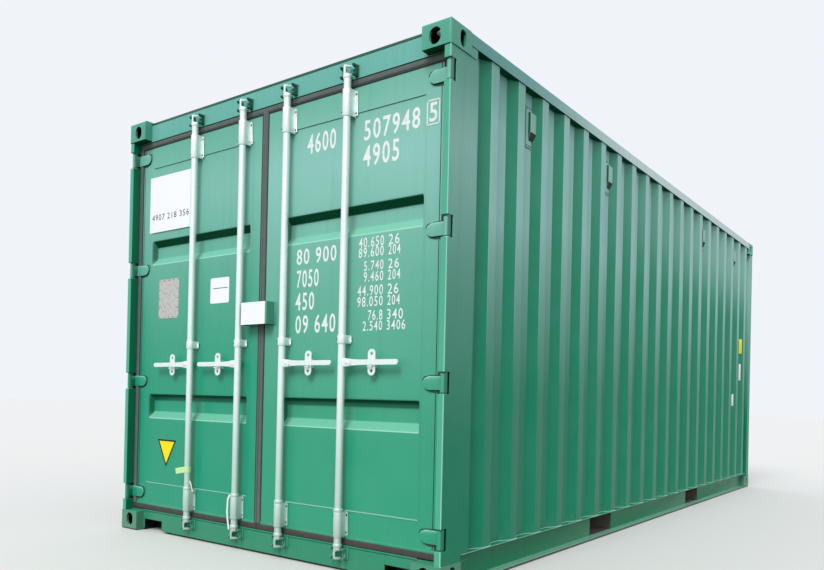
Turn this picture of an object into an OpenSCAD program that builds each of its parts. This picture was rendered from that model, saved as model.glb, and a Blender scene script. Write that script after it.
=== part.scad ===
// Twenty-foot steel freight container, door end at -Y, closed end at +Y.
// X across the doors, Y along the length, Z up, origin under the middle of the base.

/* [Overall size] */
// Length over the corner castings
length = 6058; // [4500:1:7000]
// Width over the corner castings
width = 2438; // [2400:1:2600]
// Height over the corner castings
height = 2591; // [2550:1:2900]

/* [Corner castings] */
// Casting size along the container
cast_l = 178; // [170:1:190]
// Casting size across the container
cast_w = 162; // [155:1:165]
// Casting height
cast_h = 118; // [112:1:120]
// Thickness of the slotted plate
cast_plate = 28; // [24:1:30]
// Thickness of the end and side walls
cast_wall = 16; // [12:1:20]
// Thickness of the walls that face inwards
cast_back = 10; // [8:1:14]
// Radius on the outer edges
cast_edge = 12; // [4:1:14]
// Slot centre from the end face
slot_end = 102.5; // [100:0.5:104]
// Slot centre from the side face
slot_side = 89.5; // [86:0.5:92]
// Slot length in the plate
slot_l = 124; // [110:1:126]
// Slot width in the plate, and width of the end hole
slot_w = 63.5; // [56:0.5:65]
// Height of the end and side holes
hole_h = 79; // [66:1:80]
// Width of the side hole
side_hole_w = 51; // [40:1:54]
// Middle of the end and side holes from the slotted face
hole_z = 66; // [64:1:68]

/* [Frame] */
// Rails and roof below the top of the castings
top_drop = 8; // [4:1:14]
// Rails above the ground
base_lift = 11; // [8:1:20]
// Height of the bottom rails
base_h = 139; // [130:1:150]
// Sheet thickness of the bottom rails
base_t = 4.5; // [3:0.5:8]
// Top rail tube, height and depth
rail_tube = 60; // [50:1:70]
// Wall of the top rail tube
rail_t = 3; // [2:0.5:6]

/* [Posts] */
// Post faces inside the casting faces
post_inset = 4; // [2:1:8]
// Front of a door post inside the casting's end face
post_set = 5; // [2:1:8]
// Width of the front flange of a door post
post_flange = 36; // [34:1:44]
// Depth of a door post along the side
post_depth = 239; // [220:1:260]
// Pressed plate thickness of the posts
post_t = 6; // [4:0.5:8]
// Width of the inner channel of a door post
stop_w = 113; // [90:1:120]
// Flange of the inner channel
stop_flange = 40; // [30:1:50]
// Thickness of the inner channel
stop_t = 12; // [6:1:14]
// Closed-end post, size along the side
end_post_l = 100; // [80:1:170]

/* [Corrugated walls] */
// Sheet thickness of the side walls
wall_t = 2; // [1.6:0.2:3]
// Depth of the side wall corrugation
wall_depth = 36; // [25:1:38]
// Recesses along each side
wall_bays = 21; // [15:2:25]
// Outer flat of a side wall ridge
ridge_flat = 72; // [50:1:80]
// Length of each slope of a side wall ridge
ridge_slope = 68; // [30:1:70]
// Ridges inside the post face
ridge_inset = 4; // [2:1:6]
// Depth of the end wall corrugation
end_depth = 45; // [30:1:46]
// Recesses across the end wall
end_bays = 8; // [6:1:10]
// Outer flat of an end wall ridge
end_flat = 110; // [70:1:120]
// Length of each slope of an end wall ridge
end_slope = 18; // [10:1:24]

/* [Roof] */
// Edge of the roof sheet inside the rails' outer faces
roof_in = 20; // [10:1:30]
// Roof sheet thickness
roof_t = 2; // [1.6:0.2:3]
// Number of cross troughs pressed in the roof
roof_pans = 26; // [16:1:28]
// Depth of a roof trough
roof_depth = 20; // [10:1:22]
// Width of a roof trough at the top
roof_pan_w = 120; // [80:1:130]
// Flat roof border at the troughs' ends
roof_border = 70; // [50:1:90]
// Thickness of the corner plates on the roof
roof_plate_t = 3; // [2:0.5:4]
// Corner plate, size along the container
roof_plate_l = 300; // [250:1:400]

/* [Floor] */
// Height of a cross member
cross_h = 122; // [110:1:126]
// Cross members above the underside of the rails
cross_lift = 6; // [4.5:0.5:10]
// Flange of a cross member
cross_flange = 45; // [35:1:50]
// Sheet thickness of the cross members
cross_t = 4; // [3:0.5:6]
// Spacing of the cross members
cross_pitch = 300; // [280:1:320]
// Plywood thickness
floor_t = 28; // [21:1:30]
// Gap between the boards and the steel round them
board_gap = 1; // [0.5:0.5:3]
// Gap left between two plates where a weld joins them
weld_gap = 0.3; // [0.2:0.1:0.6]
// Fork pocket width
pocket_w = 360; // [340:1:370]
// Distance between the fork pockets' centres
pocket_span = 2080; // [2050:1:2110]
// Sheet thickness of the fork pockets
pocket_t = 4.5; // [3:0.5:6]

/* [Header and sill] */
// Header and sill face inside the casting face
beam_recess = 52; // [48:1:54]
// Depth of the header and sill
beam_depth = 100; // [90:1:120]
// Height of the header face
header_h = 118; // [112:1:124]
// Plate thickness of the header and sill
beam_t = 4; // [3:0.5:6]
// Width of the opening at each end of the sill
sill_notch_w = 175; // [120:1:190]
// Top of that opening above the ground
sill_notch_z = 71; // [55:1:80]
// Strip of sill between that opening and the casting
sill_notch_in = 14; // [10:1:40]

/* [Door leaves] */
// Leaf face inside the casting face
door_recess = 64; // [62:1:68]
// Leaf thickness
leaf_t = 50; // [46:1:54]
// Gap between the leaf's back and the stop behind it
stop_gap = 10; // [6:1:14]
// Gap between leaf and jamb, filled by the seal
jamb_gap = 29; // [24:1:34]
// Gap above and below a leaf
lintel_gap = 40; // [30:1:44]
// Gap over the leaves, under the header
header_gap = 33; // [30:1:44]
// Half of the gap between the two leaves
seam_half = 23; // [16:1:26]
// Middle of the seam between the leaves, left of the middle of the door opening
seam_x = -27; // [-40:1:40]
// Lower edge of the leaf above the ground
leaf_z0 = 165; // [158:1:180]
// Width of the leaf's stiles
stile_w = 100; // [80:1:110]
// Inner edge of the door panels, from the middle of the door opening
panel_in = 119; // [112:1:140]
// Wall of the stile tubes
stile_t = 3.2; // [2:0.2:5]
// Height of the leaf's top rail
top_rail_h = 136; // [126:1:150]
// Height of the leaf's bottom rail
bottom_rail_h = 139; // [120:1:150]
// Sheet thickness of the leaf's top and bottom rails
leaf_rail_t = 3; // [2:0.5:5]
// Panel sheet thickness
panel_t = 2; // [1.6:0.2:3]
// Panel behind the face of the leaf frame
panel_set = 4; // [2:1:6]
// Depth of the two troughs across the panel
trough_depth = 36; // [20:1:40]
// Height of a trough at the panel face
trough_h = 150; // [130:1:170]
// Height of each sloping edge of a trough
trough_slope = 40; // [20:1:50]
// Middle of the lower trough above the ground
trough_low_z = 788; // [700:1:850]
// Middle of the upper trough above the ground
trough_high_z = 1759; // [1650:1:1850]
// Panel border at the ends of a trough
trough_end = 18; // [12:1:30]
// Flat left between a trough and the outer stile
trough_out = 6; // [4:1:30]
// Clearance round the rubber seal
seal_clear = 5; // [5:0.5:8]
// Half of the clearance between the two seals
seam_clear = 5; // [5:0.5:8]
// Thickness of the seal's lips
seal_lip = 6; // [4:0.5:8]
// Width of the seal's body beside the frame
seal_body = 8; // [5:0.5:9]
// Depth of the seal
seal_depth = 42; // [36:1:46]

/* [Hinges] */
// Hinges on each leaf
hinge_n = 4; // [3:1:5]
// Middle of the lowest hinge above the ground
hinge_z0 = 236; // [220:1:260]
// Middle of the highest hinge below the top of the castings
hinge_drop = 229; // [200:1:240]
// Pin axis from the post's side face
pin_in = 20; // [18:1:21]
// Pin axis from the post's front face
pin_back = 24; // [20:1:26]
// Pin radius
pin_r = 7; // [6:0.5:9]
// Play between pin and knuckle
pin_fit = 0.4; // [0.2:0.1:0.8]
// Knuckle radius
knuckle_r = 16; // [14:0.5:17]
// Knuckle height
knuckle_h = 90; // [70:1:100]
// Blade thickness
blade_t = 10; // [6:0.5:10]
// Blade length from the pin axis
blade_l = 132; // [100:1:140]
// Height of the blade, at the middle of the knuckle
blade_h = 66; // [50:1:80]
// Corner radius of the blade's end
blade_r = 16; // [6:1:30]
// Clearance round knuckle and blade in the post
notch_clear = 5; // [5:0.5:8]
// Depth of the notch in the post's side face
notch_depth = 49; // [48:1:55]
// Thickness of the lugs that hold the pin
lug_t = 12; // [8:1:16]

/* [Locking gear] */
// Outer bar from the middle of the container
bar_out = 593; // [560:1:620]
// Inner bar from the middle of the container
bar_in = 173; // [165:1:200]
// Bar radius
bar_r = 19; // [15:0.5:19.5]
// Bore radius of the bar tube
bar_bore = 15; // [10:0.5:16]
// Bar axis in front of the leaf face
bar_off = 39; // [38:0.5:40]
// Play between bar and guides
bar_fit = 0.4; // [0.3:0.1:0.8]
// Thickness of the guides over the bar
guide_t = 3; // [2:0.5:3]
// Guide flange width on the wide side
guide_flange = 36; // [30:1:60]
// The same on the guide above the handle
mid_flange = 28; // [26:1:50]
// Foot of the lower guides above the leaf's lower edge
guide_low = 11; // [4:1:30]
// Head of the upper guides below the leaf's upper edge
guide_top = 30; // [4:1:40]
// Guide flange width on the narrow side
guide_tab = 30; // [28:1:34]
// Height of the guides at the leaf's top and bottom rails
guide_h = 125; // [100:1:125]
// Height of the guide above the handle
mid_guide_h = 40; // [36:1:60]
// Middle of that guide above the ground
mid_guide_z = 1160; // [1140:1:1200]
// Keeper from the header's lower edge and the sill's upper edge
keeper_lift = 4; // [2:1:8]
// Gap between bar end and keeper plate
keeper_gap = 6; // [5:0.5:8]
// Keeper height
keeper_h = 62; // [60:1:66]
// Keeper plate thickness
keeper_t = 6; // [4:0.5:8]
// Keeper reach in front of header and sill
keeper_reach = 42; // [36:1:44]
// Cam nose reach from the bar axis
cam_reach = 44; // [36:1:44]
// Cam nose half thickness
cam_r = 9; // [7:0.5:10]
// Height of each cam nose
cam_h = 12; // [9:1:12]
// Gap between the two noses of a cam
cam_gap = 14; // [8:1:18]
// Keeper cheek beyond the cam nose
keeper_side = 10; // [7:1:14]

/* [Handles] */
// Handle height above the ground
handle_z = 1044; // [1000:1:1060]
// Handle reach from the bar axis to its tip
handle_l = 351; // [320:1:370]
// Handle pivot from the bar axis
pivot_x = 40; // [38:1:46]
// Pivot pin radius
pivot_r = 6; // [5:0.5:7]
// Handle thickness
handle_t = 8; // [6:0.5:9]
// Handle height at its grip
grip_h = 26; // [22:1:30]
// Handle height at its root
root_h = 34; // [30:1:38]
// Length of the taper from the pivot
taper_l = 88; // [60:1:120]
// Hub plate thickness
hub_t = 5; // [4:0.5:6]
// Hub plate height
hub_h = 46; // [40:1:50]
// Side play of the handle in its hub
hub_fit = 0.5; // [0.3:0.1:0.8]
// Retainer from the bar axis
retainer_x = 183; // [170:1:200]
// Retainer plate width
retainer_w = 46; // [40:1:50]
// Retainer plate height
retainer_h = 130; // [120:1:140]
// Retainer plate thickness
retainer_t = 5; // [4:0.5:6]
// Width of the block behind the retainer
stand_w = 28; // [20:1:34]
// Clearance between handle and retainer
retainer_gap = 5; // [5:0.5:7]
// Radius of the seal holes in the retainer
seal_hole_r = 8; // [5:0.5:10]

/* [Lock box] */
// Lock box from the seam to its left end
box_left = 130; // [110:1:130]
// Lock box from the seam to its right end
box_right = 72; // [60:1:90]
// Lock box height
box_h = 124; // [110:1:160]
// Middle of the lock box above the ground
box_z = 1320; // [1300:1:1400]
// Lock box depth in front of the leaf face
box_depth = 60; // [50:1:62]
// Lock box plate thickness
box_t = 3; // [2:0.5:5]
// Half of the gap between the two halves of the box
box_seam = 4; // [3:0.5:6]

/* [Ventilators] */
// Recesses of the side wall that carry a ventilator
vent_bays = [3, 7, 15, 19]; // [1:1:15]
// Ventilator height
vent_h = 205; // [180:1:230]
// Top of the ventilator below the top of the castings
vent_drop = 159; // [140:1:200]
// Ventilator depth in front of the recess
vent_depth = 19; // [14:1:24]
// Ventilator shell thickness
vent_t = 2.5; // [2:0.5:4]
// Gap between ventilator and the slopes beside it
vent_fit = 1; // [0.5:0.5:3]

/* [Hidden] */
$fn = 48;
eps = 1;                                    // how far a cutter runs past the face it cuts
hl = length / 2;
hw = width / 2;
rail_top_z = height - top_drop;             // top of the rails and the header
rail_low_z = rail_top_z - rail_tube;
base_z = base_lift + base_h;                // top of the bottom rails, foot of the walls
cast_in_x = hw - cast_w;
cast_in_y = hl - cast_l;
post_face_x = hw - post_inset;
post_front_y = post_set - hl;
post_back_y = post_front_y + post_depth;
post_z1 = height - cast_h;
jamb_x = post_face_x - post_flange;
lap_x = post_face_x - post_t / 2;           // inner channel fused into the side plate
end_face_y = hl - post_inset;
end_front_y = end_face_y - end_post_l;
rail_face = post_inset / 2;                 // rails inside the casting faces
rail_x = hw - rail_face;
rail_y = hl - rail_face;
ridge_x = post_face_x - ridge_inset;        // outer face of the side wall ridges
recess_x = ridge_x - wall_depth;
web_x = recess_x - wall_t;                  // web of the bottom side rails
post_in_x = recess_x - post_t;              // edge of the posts' inward flanges
ridge_y = end_face_y - ridge_inset;
web_y = ridge_y - end_depth - wall_t;       // web of the closed-end bottom rail
wall_run = end_front_y - post_back_y;
ridge_run = 2 * ridge_slope + ridge_flat;
recess_flat = (wall_run - (wall_bays - 1) * ridge_run) / wall_bays;
wall_pitch = recess_flat + ridge_run;
end_run = 2 * end_slope + end_flat;
end_recess = (2 * cast_in_x - (end_bays - 1) * end_run) / end_bays;
beam_y = beam_recess - hl;
beam_back_y = beam_y + beam_depth;
door_y = door_recess - hl;
leaf_back_y = door_y + leaf_t;
stop_y = leaf_back_y + stop_gap;
stop_x = post_face_x - post_t - stop_w;     // inner edge of the door post's channel
left_x0 = seam_half - seam_x;               // inner edges of the leaves, each in its own sense
right_x0 = seam_half + seam_x;
leaf_x1 = jamb_x - jamb_gap;
sill_z = leaf_z0 - lintel_gap;
header_z = rail_top_z - header_h;
leaf_z1 = header_z - header_gap;
panel_x1 = leaf_x1 - stile_w;
panel_z0 = leaf_z0 + bottom_rail_h;
panel_z1 = leaf_z1 - top_rail_h;
panel_y = door_y + panel_set;
pin_x = post_face_x - pin_in;
pin_y = post_front_y + pin_back;
hinge_z1 = height - hinge_drop;
hinge_zs = [for (i = [0:hinge_n - 1]) hinge_z0 + i * (hinge_z1 - hinge_z0) / (hinge_n - 1)];
notch_h = knuckle_h + 2 * notch_clear;
bar_y = door_y - bar_off;
keeper_top_z = header_z + keeper_lift;
keeper_low_z = sill_z - keeper_lift - keeper_h;
bar_z0 = keeper_low_z + keeper_t + keeper_gap;
bar_z1 = keeper_top_z + keeper_h - keeper_t - keeper_gap;
cam_block_h = 2 * cam_h + cam_gap;          // two noses with a gap between them
guide_r = bar_r + bar_fit + guide_t;
floor_z = base_lift + cross_lift + cross_h; // top of the cross members
pocket_z0 = base_lift + base_t;
board_z = floor_z + floor_t;
floor_x = web_x - board_gap;
roof_z = rail_top_z + roof_t;
pan_run = 2 * (cast_in_y - roof_plate_l) / roof_pans;
pan_ys = [for (i = [0:roof_pans - 1]) (i - (roof_pans - 1) / 2) * pan_run];
vent_z1 = height - vent_drop;

// Bent sheet: a path, thickened to its left by t, with mitred bends
function seg_normal(a, b) = let (d = b - a) [-d[1], d[0]] / norm(d);
function mitre(p, i, t) =
    let (n1 = i > 0 ? seg_normal(p[i - 1], p[i]) : seg_normal(p[i], p[i + 1]),
         n2 = i < len(p) - 1 ? seg_normal(p[i], p[i + 1]) : n1)
    p[i] + t * (n1 + n2) / (1 + n1 * n2);
function sheet(p, t) = concat(p, [for (i = [len(p) - 1:-1:0]) mitre(p, i, t)]);

// Outer surface of a corrugated wall seen from above: recess, ridge, recess and so on
function corrugation(n, flat, slope, ridge, depth, start, inner) = concat(
    [[inner, start]],
    [for (i = [0:n - 2], k = [0:3])
        let (y0 = start + flat + i * (flat + 2 * slope + ridge))
        [inner + (k == 1 || k == 2 ? depth : 0),
         y0 + (k > 0 ? slope : 0) + (k > 1 ? ridge : 0) + (k > 2 ? slope : 0)]],
    [[inner, start + n * flat + (n - 1) * (2 * slope + ridge)]]);

module slab(x0, x1, y0, y1, z0, z1)
    translate([x0, y0, z0]) cube([x1 - x0, y1 - y0, z1 - z0]);

// A profile drawn in Y and Z, carried along X from x0 to x1
module along_x(x0, x1)
    translate([x0, 0, 0]) rotate([90, 0, 90]) linear_extrude(x1 - x0) children();

// A profile drawn in X and Z, carried along Y from y0 to y1
module along_y(y0, y1)
    translate([0, y1, 0]) rotate([90, 0, 0]) linear_extrude(y1 - y0) children();

module along_z(z0, z1)
    translate([0, 0, z0]) linear_extrude(z1 - z0) children();

module on_left()
    mirror([1, 0, 0]) children();

module both_sides() {
    children();
    on_left() children();
}

module stadium(l, w) {
    square([l - w, w], center = true);
    for (s = [-1, 1]) translate([s * (l - w) / 2, 0]) circle(d = w);
}

// Cutter that rounds a vertical edge at the origin of a block lying towards -X and -Y
module edge_cutter(l, r)
    difference() {
        translate([-r, -r, -eps]) cube([r + eps, r + eps, l + 2 * eps]);
        translate([-r, -r, -2 * eps]) cylinder(r = r, h = l + 4 * eps);
    }

// Corner casting with its outer top corner at the origin
module casting()
    difference() {
        translate([-cast_w, -cast_l, -cast_h]) cube([cast_w, cast_l, cast_h]);
        slab(cast_back - cast_w, -cast_wall, cast_back - cast_l, -cast_wall,
             cast_back - cast_h, -cast_plate);
        translate([-slot_side, -slot_end, -cast_h / 2]) linear_extrude(cast_h)
            rotate(90) stadium(slot_l, slot_w);
        translate([-slot_side, eps, -hole_z]) rotate([90, 90, 0])
            linear_extrude(cast_wall + 2 * eps) stadium(hole_h, slot_w);
        translate([eps, -slot_end, -hole_z]) rotate([0, -90, 0])
            linear_extrude(cast_wall + 2 * eps) stadium(hole_h, side_hole_w);
        translate([0, 0, -cast_h]) edge_cutter(cast_h, cast_edge);
        rotate([0, -90, 0]) edge_cutter(cast_w, cast_edge);
        rotate([90, 0, 0]) edge_cutter(cast_l, cast_edge);
    }

// Two castings at one end: at_doors and top are 0 or 1
module castings(top, at_doors)
    color("seagreen")
    both_sides() mirror([0, at_doors, 0])
        translate([hw, hl, top * height]) mirror([0, 0, 1 - top]) casting();

// Door-end post: pressed outer plate, inner channel that stops the leaf, hinge notches
module door_post()
    color("seagreen")
    difference() {
        along_z(cast_h, rail_low_z) {
            polygon(sheet([[jamb_x, stop_y + stop_t / 2], [jamb_x, post_front_y], [post_face_x, post_front_y],
                           [post_face_x, post_back_y], [post_in_x, post_back_y]], post_t));
            polygon(sheet([[lap_x, stop_y + stop_flange], [lap_x, stop_y],
                           [stop_x, stop_y], [stop_x, stop_y + stop_flange]], -stop_t));
        }
        slab(0, hw, -cast_in_y, 0, 0, base_z);
        slab(0, hw, -hl, -cast_in_y, post_z1, height);
        for (z = hinge_zs) {
            slab(jamb_x - eps, jamb_x + post_t + eps, -hl, door_y + notch_clear,
                 z - notch_h / 2, z + notch_h / 2);
            slab(jamb_x - eps, hw, -hl, post_front_y + notch_depth,
                 z - notch_h / 2, z + notch_h / 2);
        }
    }

module end_posts()
    color("seagreen")
    both_sides() along_z(cast_h, post_z1)
        polygon(sheet([[post_in_x, end_front_y], [post_face_x, end_front_y],
                       [post_face_x, end_face_y], [cast_in_x, end_face_y],
                       [cast_in_x, web_y]], post_t));

// Box beam over the doors with the strip that the leaves close against
module door_header()
    color("seagreen") {
        along_x(-cast_in_x, cast_in_x)
            difference() {
                translate([beam_y, header_z]) square([beam_depth, header_h]);
                translate([beam_y + beam_t, header_z + beam_t])
                    square([beam_depth - 2 * beam_t, header_h - 2 * beam_t]);
            }
        slab(-jamb_x, jamb_x, beam_y, stop_y, header_z, header_z + beam_t);
        slab(-stop_x, stop_x, stop_y, stop_y + beam_t, leaf_z1 - stop_gap, header_z + beam_t);
    }

// Sill of plates, open underneath, with a hooded opening at each end
module door_sill() {
    notch_x1 = cast_in_x - sill_notch_in;
    notch_x0 = notch_x1 - sill_notch_w;
    web_top = cast_h - weld_gap;
    front_y = beam_y + beam_t;
    back_y = beam_back_y - beam_t;
    hood_z = sill_notch_z + beam_t;
    color("seagreen") {
        slab(-cast_in_x, cast_in_x, beam_y, beam_back_y, cast_h, sill_z);
        slab(-notch_x0, notch_x0, beam_y, front_y, base_lift, web_top);
        slab(-cast_in_x, cast_in_x, back_y, beam_back_y, base_lift, web_top);
        slab(-stop_x, stop_x, stop_y, stop_y + beam_t, sill_z + weld_gap, board_z);
        both_sides() {
            slab(cast_in_x + weld_gap, jamb_x, beam_y, stop_y, cast_h, sill_z);
            slab(notch_x1, cast_in_x, beam_y, front_y, base_lift, web_top);
            slab(notch_x0 + weld_gap, notch_x1 - weld_gap, beam_y, front_y, sill_notch_z, web_top);
            slab(notch_x0 - beam_t, notch_x1 + beam_t, front_y + weld_gap, back_y - weld_gap,
                 sill_notch_z, hood_z);
            slab(notch_x0 - beam_t, notch_x0, front_y + weld_gap, back_y - weld_gap,
                 base_lift, sill_notch_z - weld_gap);
        }
    }
}

module tube_profile(a0, b0)
    difference() {
        translate([a0, b0]) square(rail_tube);
        translate([a0 + rail_t, b0 + rail_t]) square(rail_tube - 2 * rail_t);
    }

module top_side_rails()
    color("seagreen")
    both_sides() along_y(-cast_in_y, cast_in_y) tube_profile(rail_x - rail_tube, rail_low_z);

module end_top_rail()
    color("seagreen") along_x(-cast_in_x, cast_in_x) tube_profile(rail_y - rail_tube, rail_low_z);

// Web and lower flange of the bottom rail between two places along it, up to web_top
module rail_channel(y0, y1, web_top)
    along_y(y0, y1)
        polygon(sheet([[web_x, web_top], [web_x, base_lift], [rail_x - ridge_inset, base_lift]], base_t));

// Bottom rail: a ledge over channels that stop at the fork pockets, with strips round each mouth
module bottom_rail() {
    under_ledge = base_z - base_t - weld_gap;
    mouth = pocket_w / 2 - weld_gap;
    pocket_y = pocket_span / 2;
    color("seagreen") {
        slab(web_x, rail_x, -cast_in_y, cast_in_y, base_z - base_t, base_z);
        rail_channel(pocket_w / 2 - pocket_y, pocket_y - pocket_w / 2, under_ledge);
        for (s = [0, 1]) mirror([0, s, 0]) {
            rail_channel(pocket_y + pocket_w / 2, cast_in_y, under_ledge);
            rail_channel(pocket_y - mouth, pocket_y + mouth, pocket_z0 + pocket_t);
            slab(web_x, web_x + base_t, pocket_y - mouth, pocket_y + mouth, floor_z - pocket_t, under_ledge);
        }
    }
}

module end_bottom_rail()
    color("seagreen")
    along_x(-cast_in_x, cast_in_x)
        polygon(sheet([[rail_y, base_z], [web_y, base_z], [web_y, base_lift],
                       [rail_y - ridge_inset, base_lift]], base_t));

// Side wall: full-height corrugations, and a flat strip between the corner castings
module side_wall()
    color("mediumseagreen") {
        difference() {
            along_z(base_z, rail_low_z)
                polygon(sheet(corrugation(wall_bays, recess_flat, ridge_slope, ridge_flat, wall_depth,
                                          post_back_y, recess_x), wall_t));
            slab(0, hw, cast_in_y, hl, 0, height);
        }
        along_z(cast_h, post_z1)
            polygon(sheet([[recess_x, cast_in_y + weld_gap], [recess_x, end_front_y]], wall_t));
    }

module end_wall()
    color("mediumseagreen")
    along_z(base_z, rail_low_z)
        rotate(90)
            polygon(sheet(corrugation(end_bays, end_recess, end_slope, end_flat, end_depth,
                                      -cast_in_x, ridge_y - end_depth), wall_t));

// Pan pressed down from the plane z = 0, running along X: its outside, then its hollow
function pan_path(top_w, floor_w, depth) =
    [[-top_w / 2, 0], [-floor_w / 2, -depth], [floor_w / 2, -depth], [top_w / 2, 0]];
module pan_shell(l, top_w, floor_w, depth, t) {
    corner = mitre(pan_path(top_w, floor_w, depth), 1, -t);
    lip_w = -corner[0] + (top_w - floor_w) / (2 * depth) * (-t / 2 - corner[1]);
    along_x(-l / 2 - t, l / 2 + t)
        polygon([[-lip_w, -t / 2], corner, [-corner[0], corner[1]], [lip_w, -t / 2]]);
}
module pan_hollow(l, top_w, floor_w, depth) {
    rim_w = top_w / 2 + (top_w - floor_w) / (2 * depth) * eps;
    along_x(-l / 2, l / 2)
        polygon([[-rim_w, eps], [-floor_w / 2, -depth], [floor_w / 2, -depth], [rim_w, eps]]);
}

module roof_sheet() {
    pan_l = 2 * (rail_x - rail_tube - roof_border);
    floor_w = roof_pan_w - roof_depth;
    color("seagreen")
    difference() {
        union() {
            slab(roof_in - rail_x, rail_x - roof_in, -cast_in_y, cast_in_y, rail_top_z, roof_z);
            for (y = [[beam_y + roof_in, -cast_in_y - weld_gap], [cast_in_y + weld_gap, rail_y - roof_in]])
                slab(-cast_in_x, cast_in_x, y[0], y[1], rail_top_z, roof_z);
            for (y = pan_ys)
                translate([0, y, roof_z]) pan_shell(pan_l, roof_pan_w, floor_w, roof_depth, roof_t);
        }
        for (y = pan_ys) translate([0, y, roof_z]) pan_hollow(pan_l, roof_pan_w, floor_w, roof_depth);
    }
}

module roof_corner_plates()
    color("seagreen")
    both_sides() for (s = [-1, 1])
        slab(cast_in_x - cast_w, rail_x - roof_in,
             s > 0 ? cast_in_y - roof_plate_l : -cast_in_y,
             s > 0 ? cast_in_y : roof_plate_l - cast_in_y, roof_z, roof_z + roof_plate_t);

// Cross members stand beside the fork pockets, never in them
module cross_members() {
    half_n = floor((cast_in_y - cross_flange) / cross_pitch);
    keep_out = (pocket_w + cross_flange) / 2 + cross_flange;
    color("dimgray")
    for (i = [-half_n:half_n])
        let (y = i * cross_pitch)
        if (abs(abs(y) - pocket_span / 2) > keep_out && y < web_y - 2 * cross_flange)
            along_x(-web_x, web_x)
                polygon(sheet([[y + cross_flange, floor_z], [y, floor_z], [y, floor_z - cross_h],
                               [y + cross_flange, floor_z - cross_h]], cross_t));
}

// Each fork pocket: bottom and top plate right through, with a side plate welded in at each edge
module fork_pockets()
    color("dimgray")
    for (s = [-1, 1]) translate([0, s * pocket_span / 2, 0]) {
        outer = pocket_w / 2 + pocket_t;
        for (z = [pocket_z0, floor_z - pocket_t])
            slab(-web_x, web_x, -outer, outer, z, z + pocket_t);
        for (y = [-outer, outer - pocket_t])
            slab(-web_x, web_x, y, y + pocket_t, pocket_z0 + pocket_t + weld_gap,
                 floor_z - pocket_t - weld_gap);
    }

module floor_boards()
    color("peru")
    difference() {
        slab(-floor_x, floor_x, stop_y + beam_t, web_y, floor_z, board_z);
        both_sides() {
            slab(stop_x - board_gap, hw, -hl, stop_y + stop_flange + board_gap, 0, height);
            slab(post_in_x - board_gap, hw, -hl, post_back_y + board_gap, 0, height);
            slab(post_in_x - board_gap, hw, end_front_y - board_gap, hl, 0, height);
        }
    }

// Lugs welded inside the post above and below each notch, with the pin through them
module hinge_pins()
    color("seagreen")
    both_sides() for (z = hinge_zs) {
        for (s = [-1, 1])
            translate([0, 0, z + s * (notch_h + lug_t) / 2 - lug_t / 2])
                slab(jamb_x + post_t, post_face_x - post_t, post_front_y + post_t,
                     pin_y + knuckle_r, 0, lug_t);
        translate([pin_x, pin_y, z - notch_h / 2 - lug_t]) cylinder(r = pin_r, h = notch_h + 2 * lug_t);
    }

// Cam keeper with its lower edge at z = 0, bar axis at x = 0, nose towards +X
module keeper() {
    x0 = -bar_r - keeper_side - keeper_t;
    x1 = cam_reach + keeper_side;
    y0 = beam_y - keeper_reach;
    under_top = keeper_h - keeper_t - weld_gap;
    slab(x0, x1 + keeper_t, y0, beam_y, keeper_h - keeper_t, keeper_h);
    slab(x0, x0 + keeper_t, y0, beam_y, 0, under_top);
    slab(x1, x1 + keeper_t, y0, beam_y, 0, under_top);
    slab(bar_r + keeper_side, x1 - weld_gap, y0, beam_y, 0, keeper_t);
}

module cam_keepers()
    color("darkgreen")
    both_sides() for (x = [bar_in, bar_out]) {
        translate([x, 0, keeper_top_z]) keeper();
        translate([x, 0, keeper_low_z + keeper_h]) mirror([0, 0, 1]) keeper();
    }

// Ventilator cover that fills a recess from slope to slope, open underneath
module ventilator() {
    half0 = recess_flat / 2 - vent_fit;
    half1 = half0 + vent_depth * ridge_slope / wall_depth;
    difference() {
        along_z(vent_z1 - vent_h, vent_z1)
            polygon([[recess_x, -half0], [recess_x + vent_depth, -half1],
                     [recess_x + vent_depth, half1], [recess_x, half0]]);
        along_z(vent_z1 - vent_h - eps, vent_z1 - vent_t)
            polygon([[recess_x + vent_t, vent_t - half0], [recess_x + vent_depth - vent_t, 2 * vent_t - half1],
                     [recess_x + vent_depth - vent_t, half1 - 2 * vent_t], [recess_x + vent_t, half0 - vent_t]]);
    }
}

module ventilators()
    color("seagreen")
    both_sides() for (k = vent_bays)
        translate([0, post_back_y + (k - 1) * wall_pitch + recess_flat / 2, 0]) ventilator();

// Leaf frame: two stile tubes and two channels open to the back
module leaf_frame(x0)
    color("mediumseagreen") {
        for (x = [[x0, panel_in], [panel_x1, leaf_x1]])
            difference() {
                slab(x[0], x[1], door_y, leaf_back_y, leaf_z0, leaf_z1);
                slab(x[0] + stile_t, x[1] - stile_t, door_y + stile_t, leaf_back_y - stile_t,
                     leaf_z0 + stile_t, leaf_z1 - stile_t);
            }
        for (z = [[leaf_z0, panel_z0], [panel_z1, leaf_z1]])
            along_x(panel_in, panel_x1)
                polygon(sheet([[leaf_back_y, z[0]], [door_y, z[0]], [door_y, z[1]],
                               [leaf_back_y, z[1]]], -leaf_rail_t));
    }

// Leaf panel: one sheet with two troughs pressed inwards
module leaf_panel() {
    trough_l = panel_x1 - trough_out - panel_in - trough_end;
    floor_w = trough_h - 2 * trough_slope;
    mid_x = (panel_in + trough_end + panel_x1 - trough_out) / 2;
    color("mediumseagreen")
    difference() {
        union() {
            slab(panel_in, panel_x1, panel_y, panel_y + panel_t, panel_z0, panel_z1);
            for (z = [trough_low_z, trough_high_z]) translate([mid_x, panel_y, z]) rotate([90, 0, 0])
                pan_shell(trough_l, trough_h, floor_w, trough_depth, panel_t);
        }
        for (z = [trough_low_z, trough_high_z]) translate([mid_x, panel_y, z]) rotate([90, 0, 0])
            pan_hollow(trough_l, trough_h, floor_w, trough_depth);
    }
}

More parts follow.
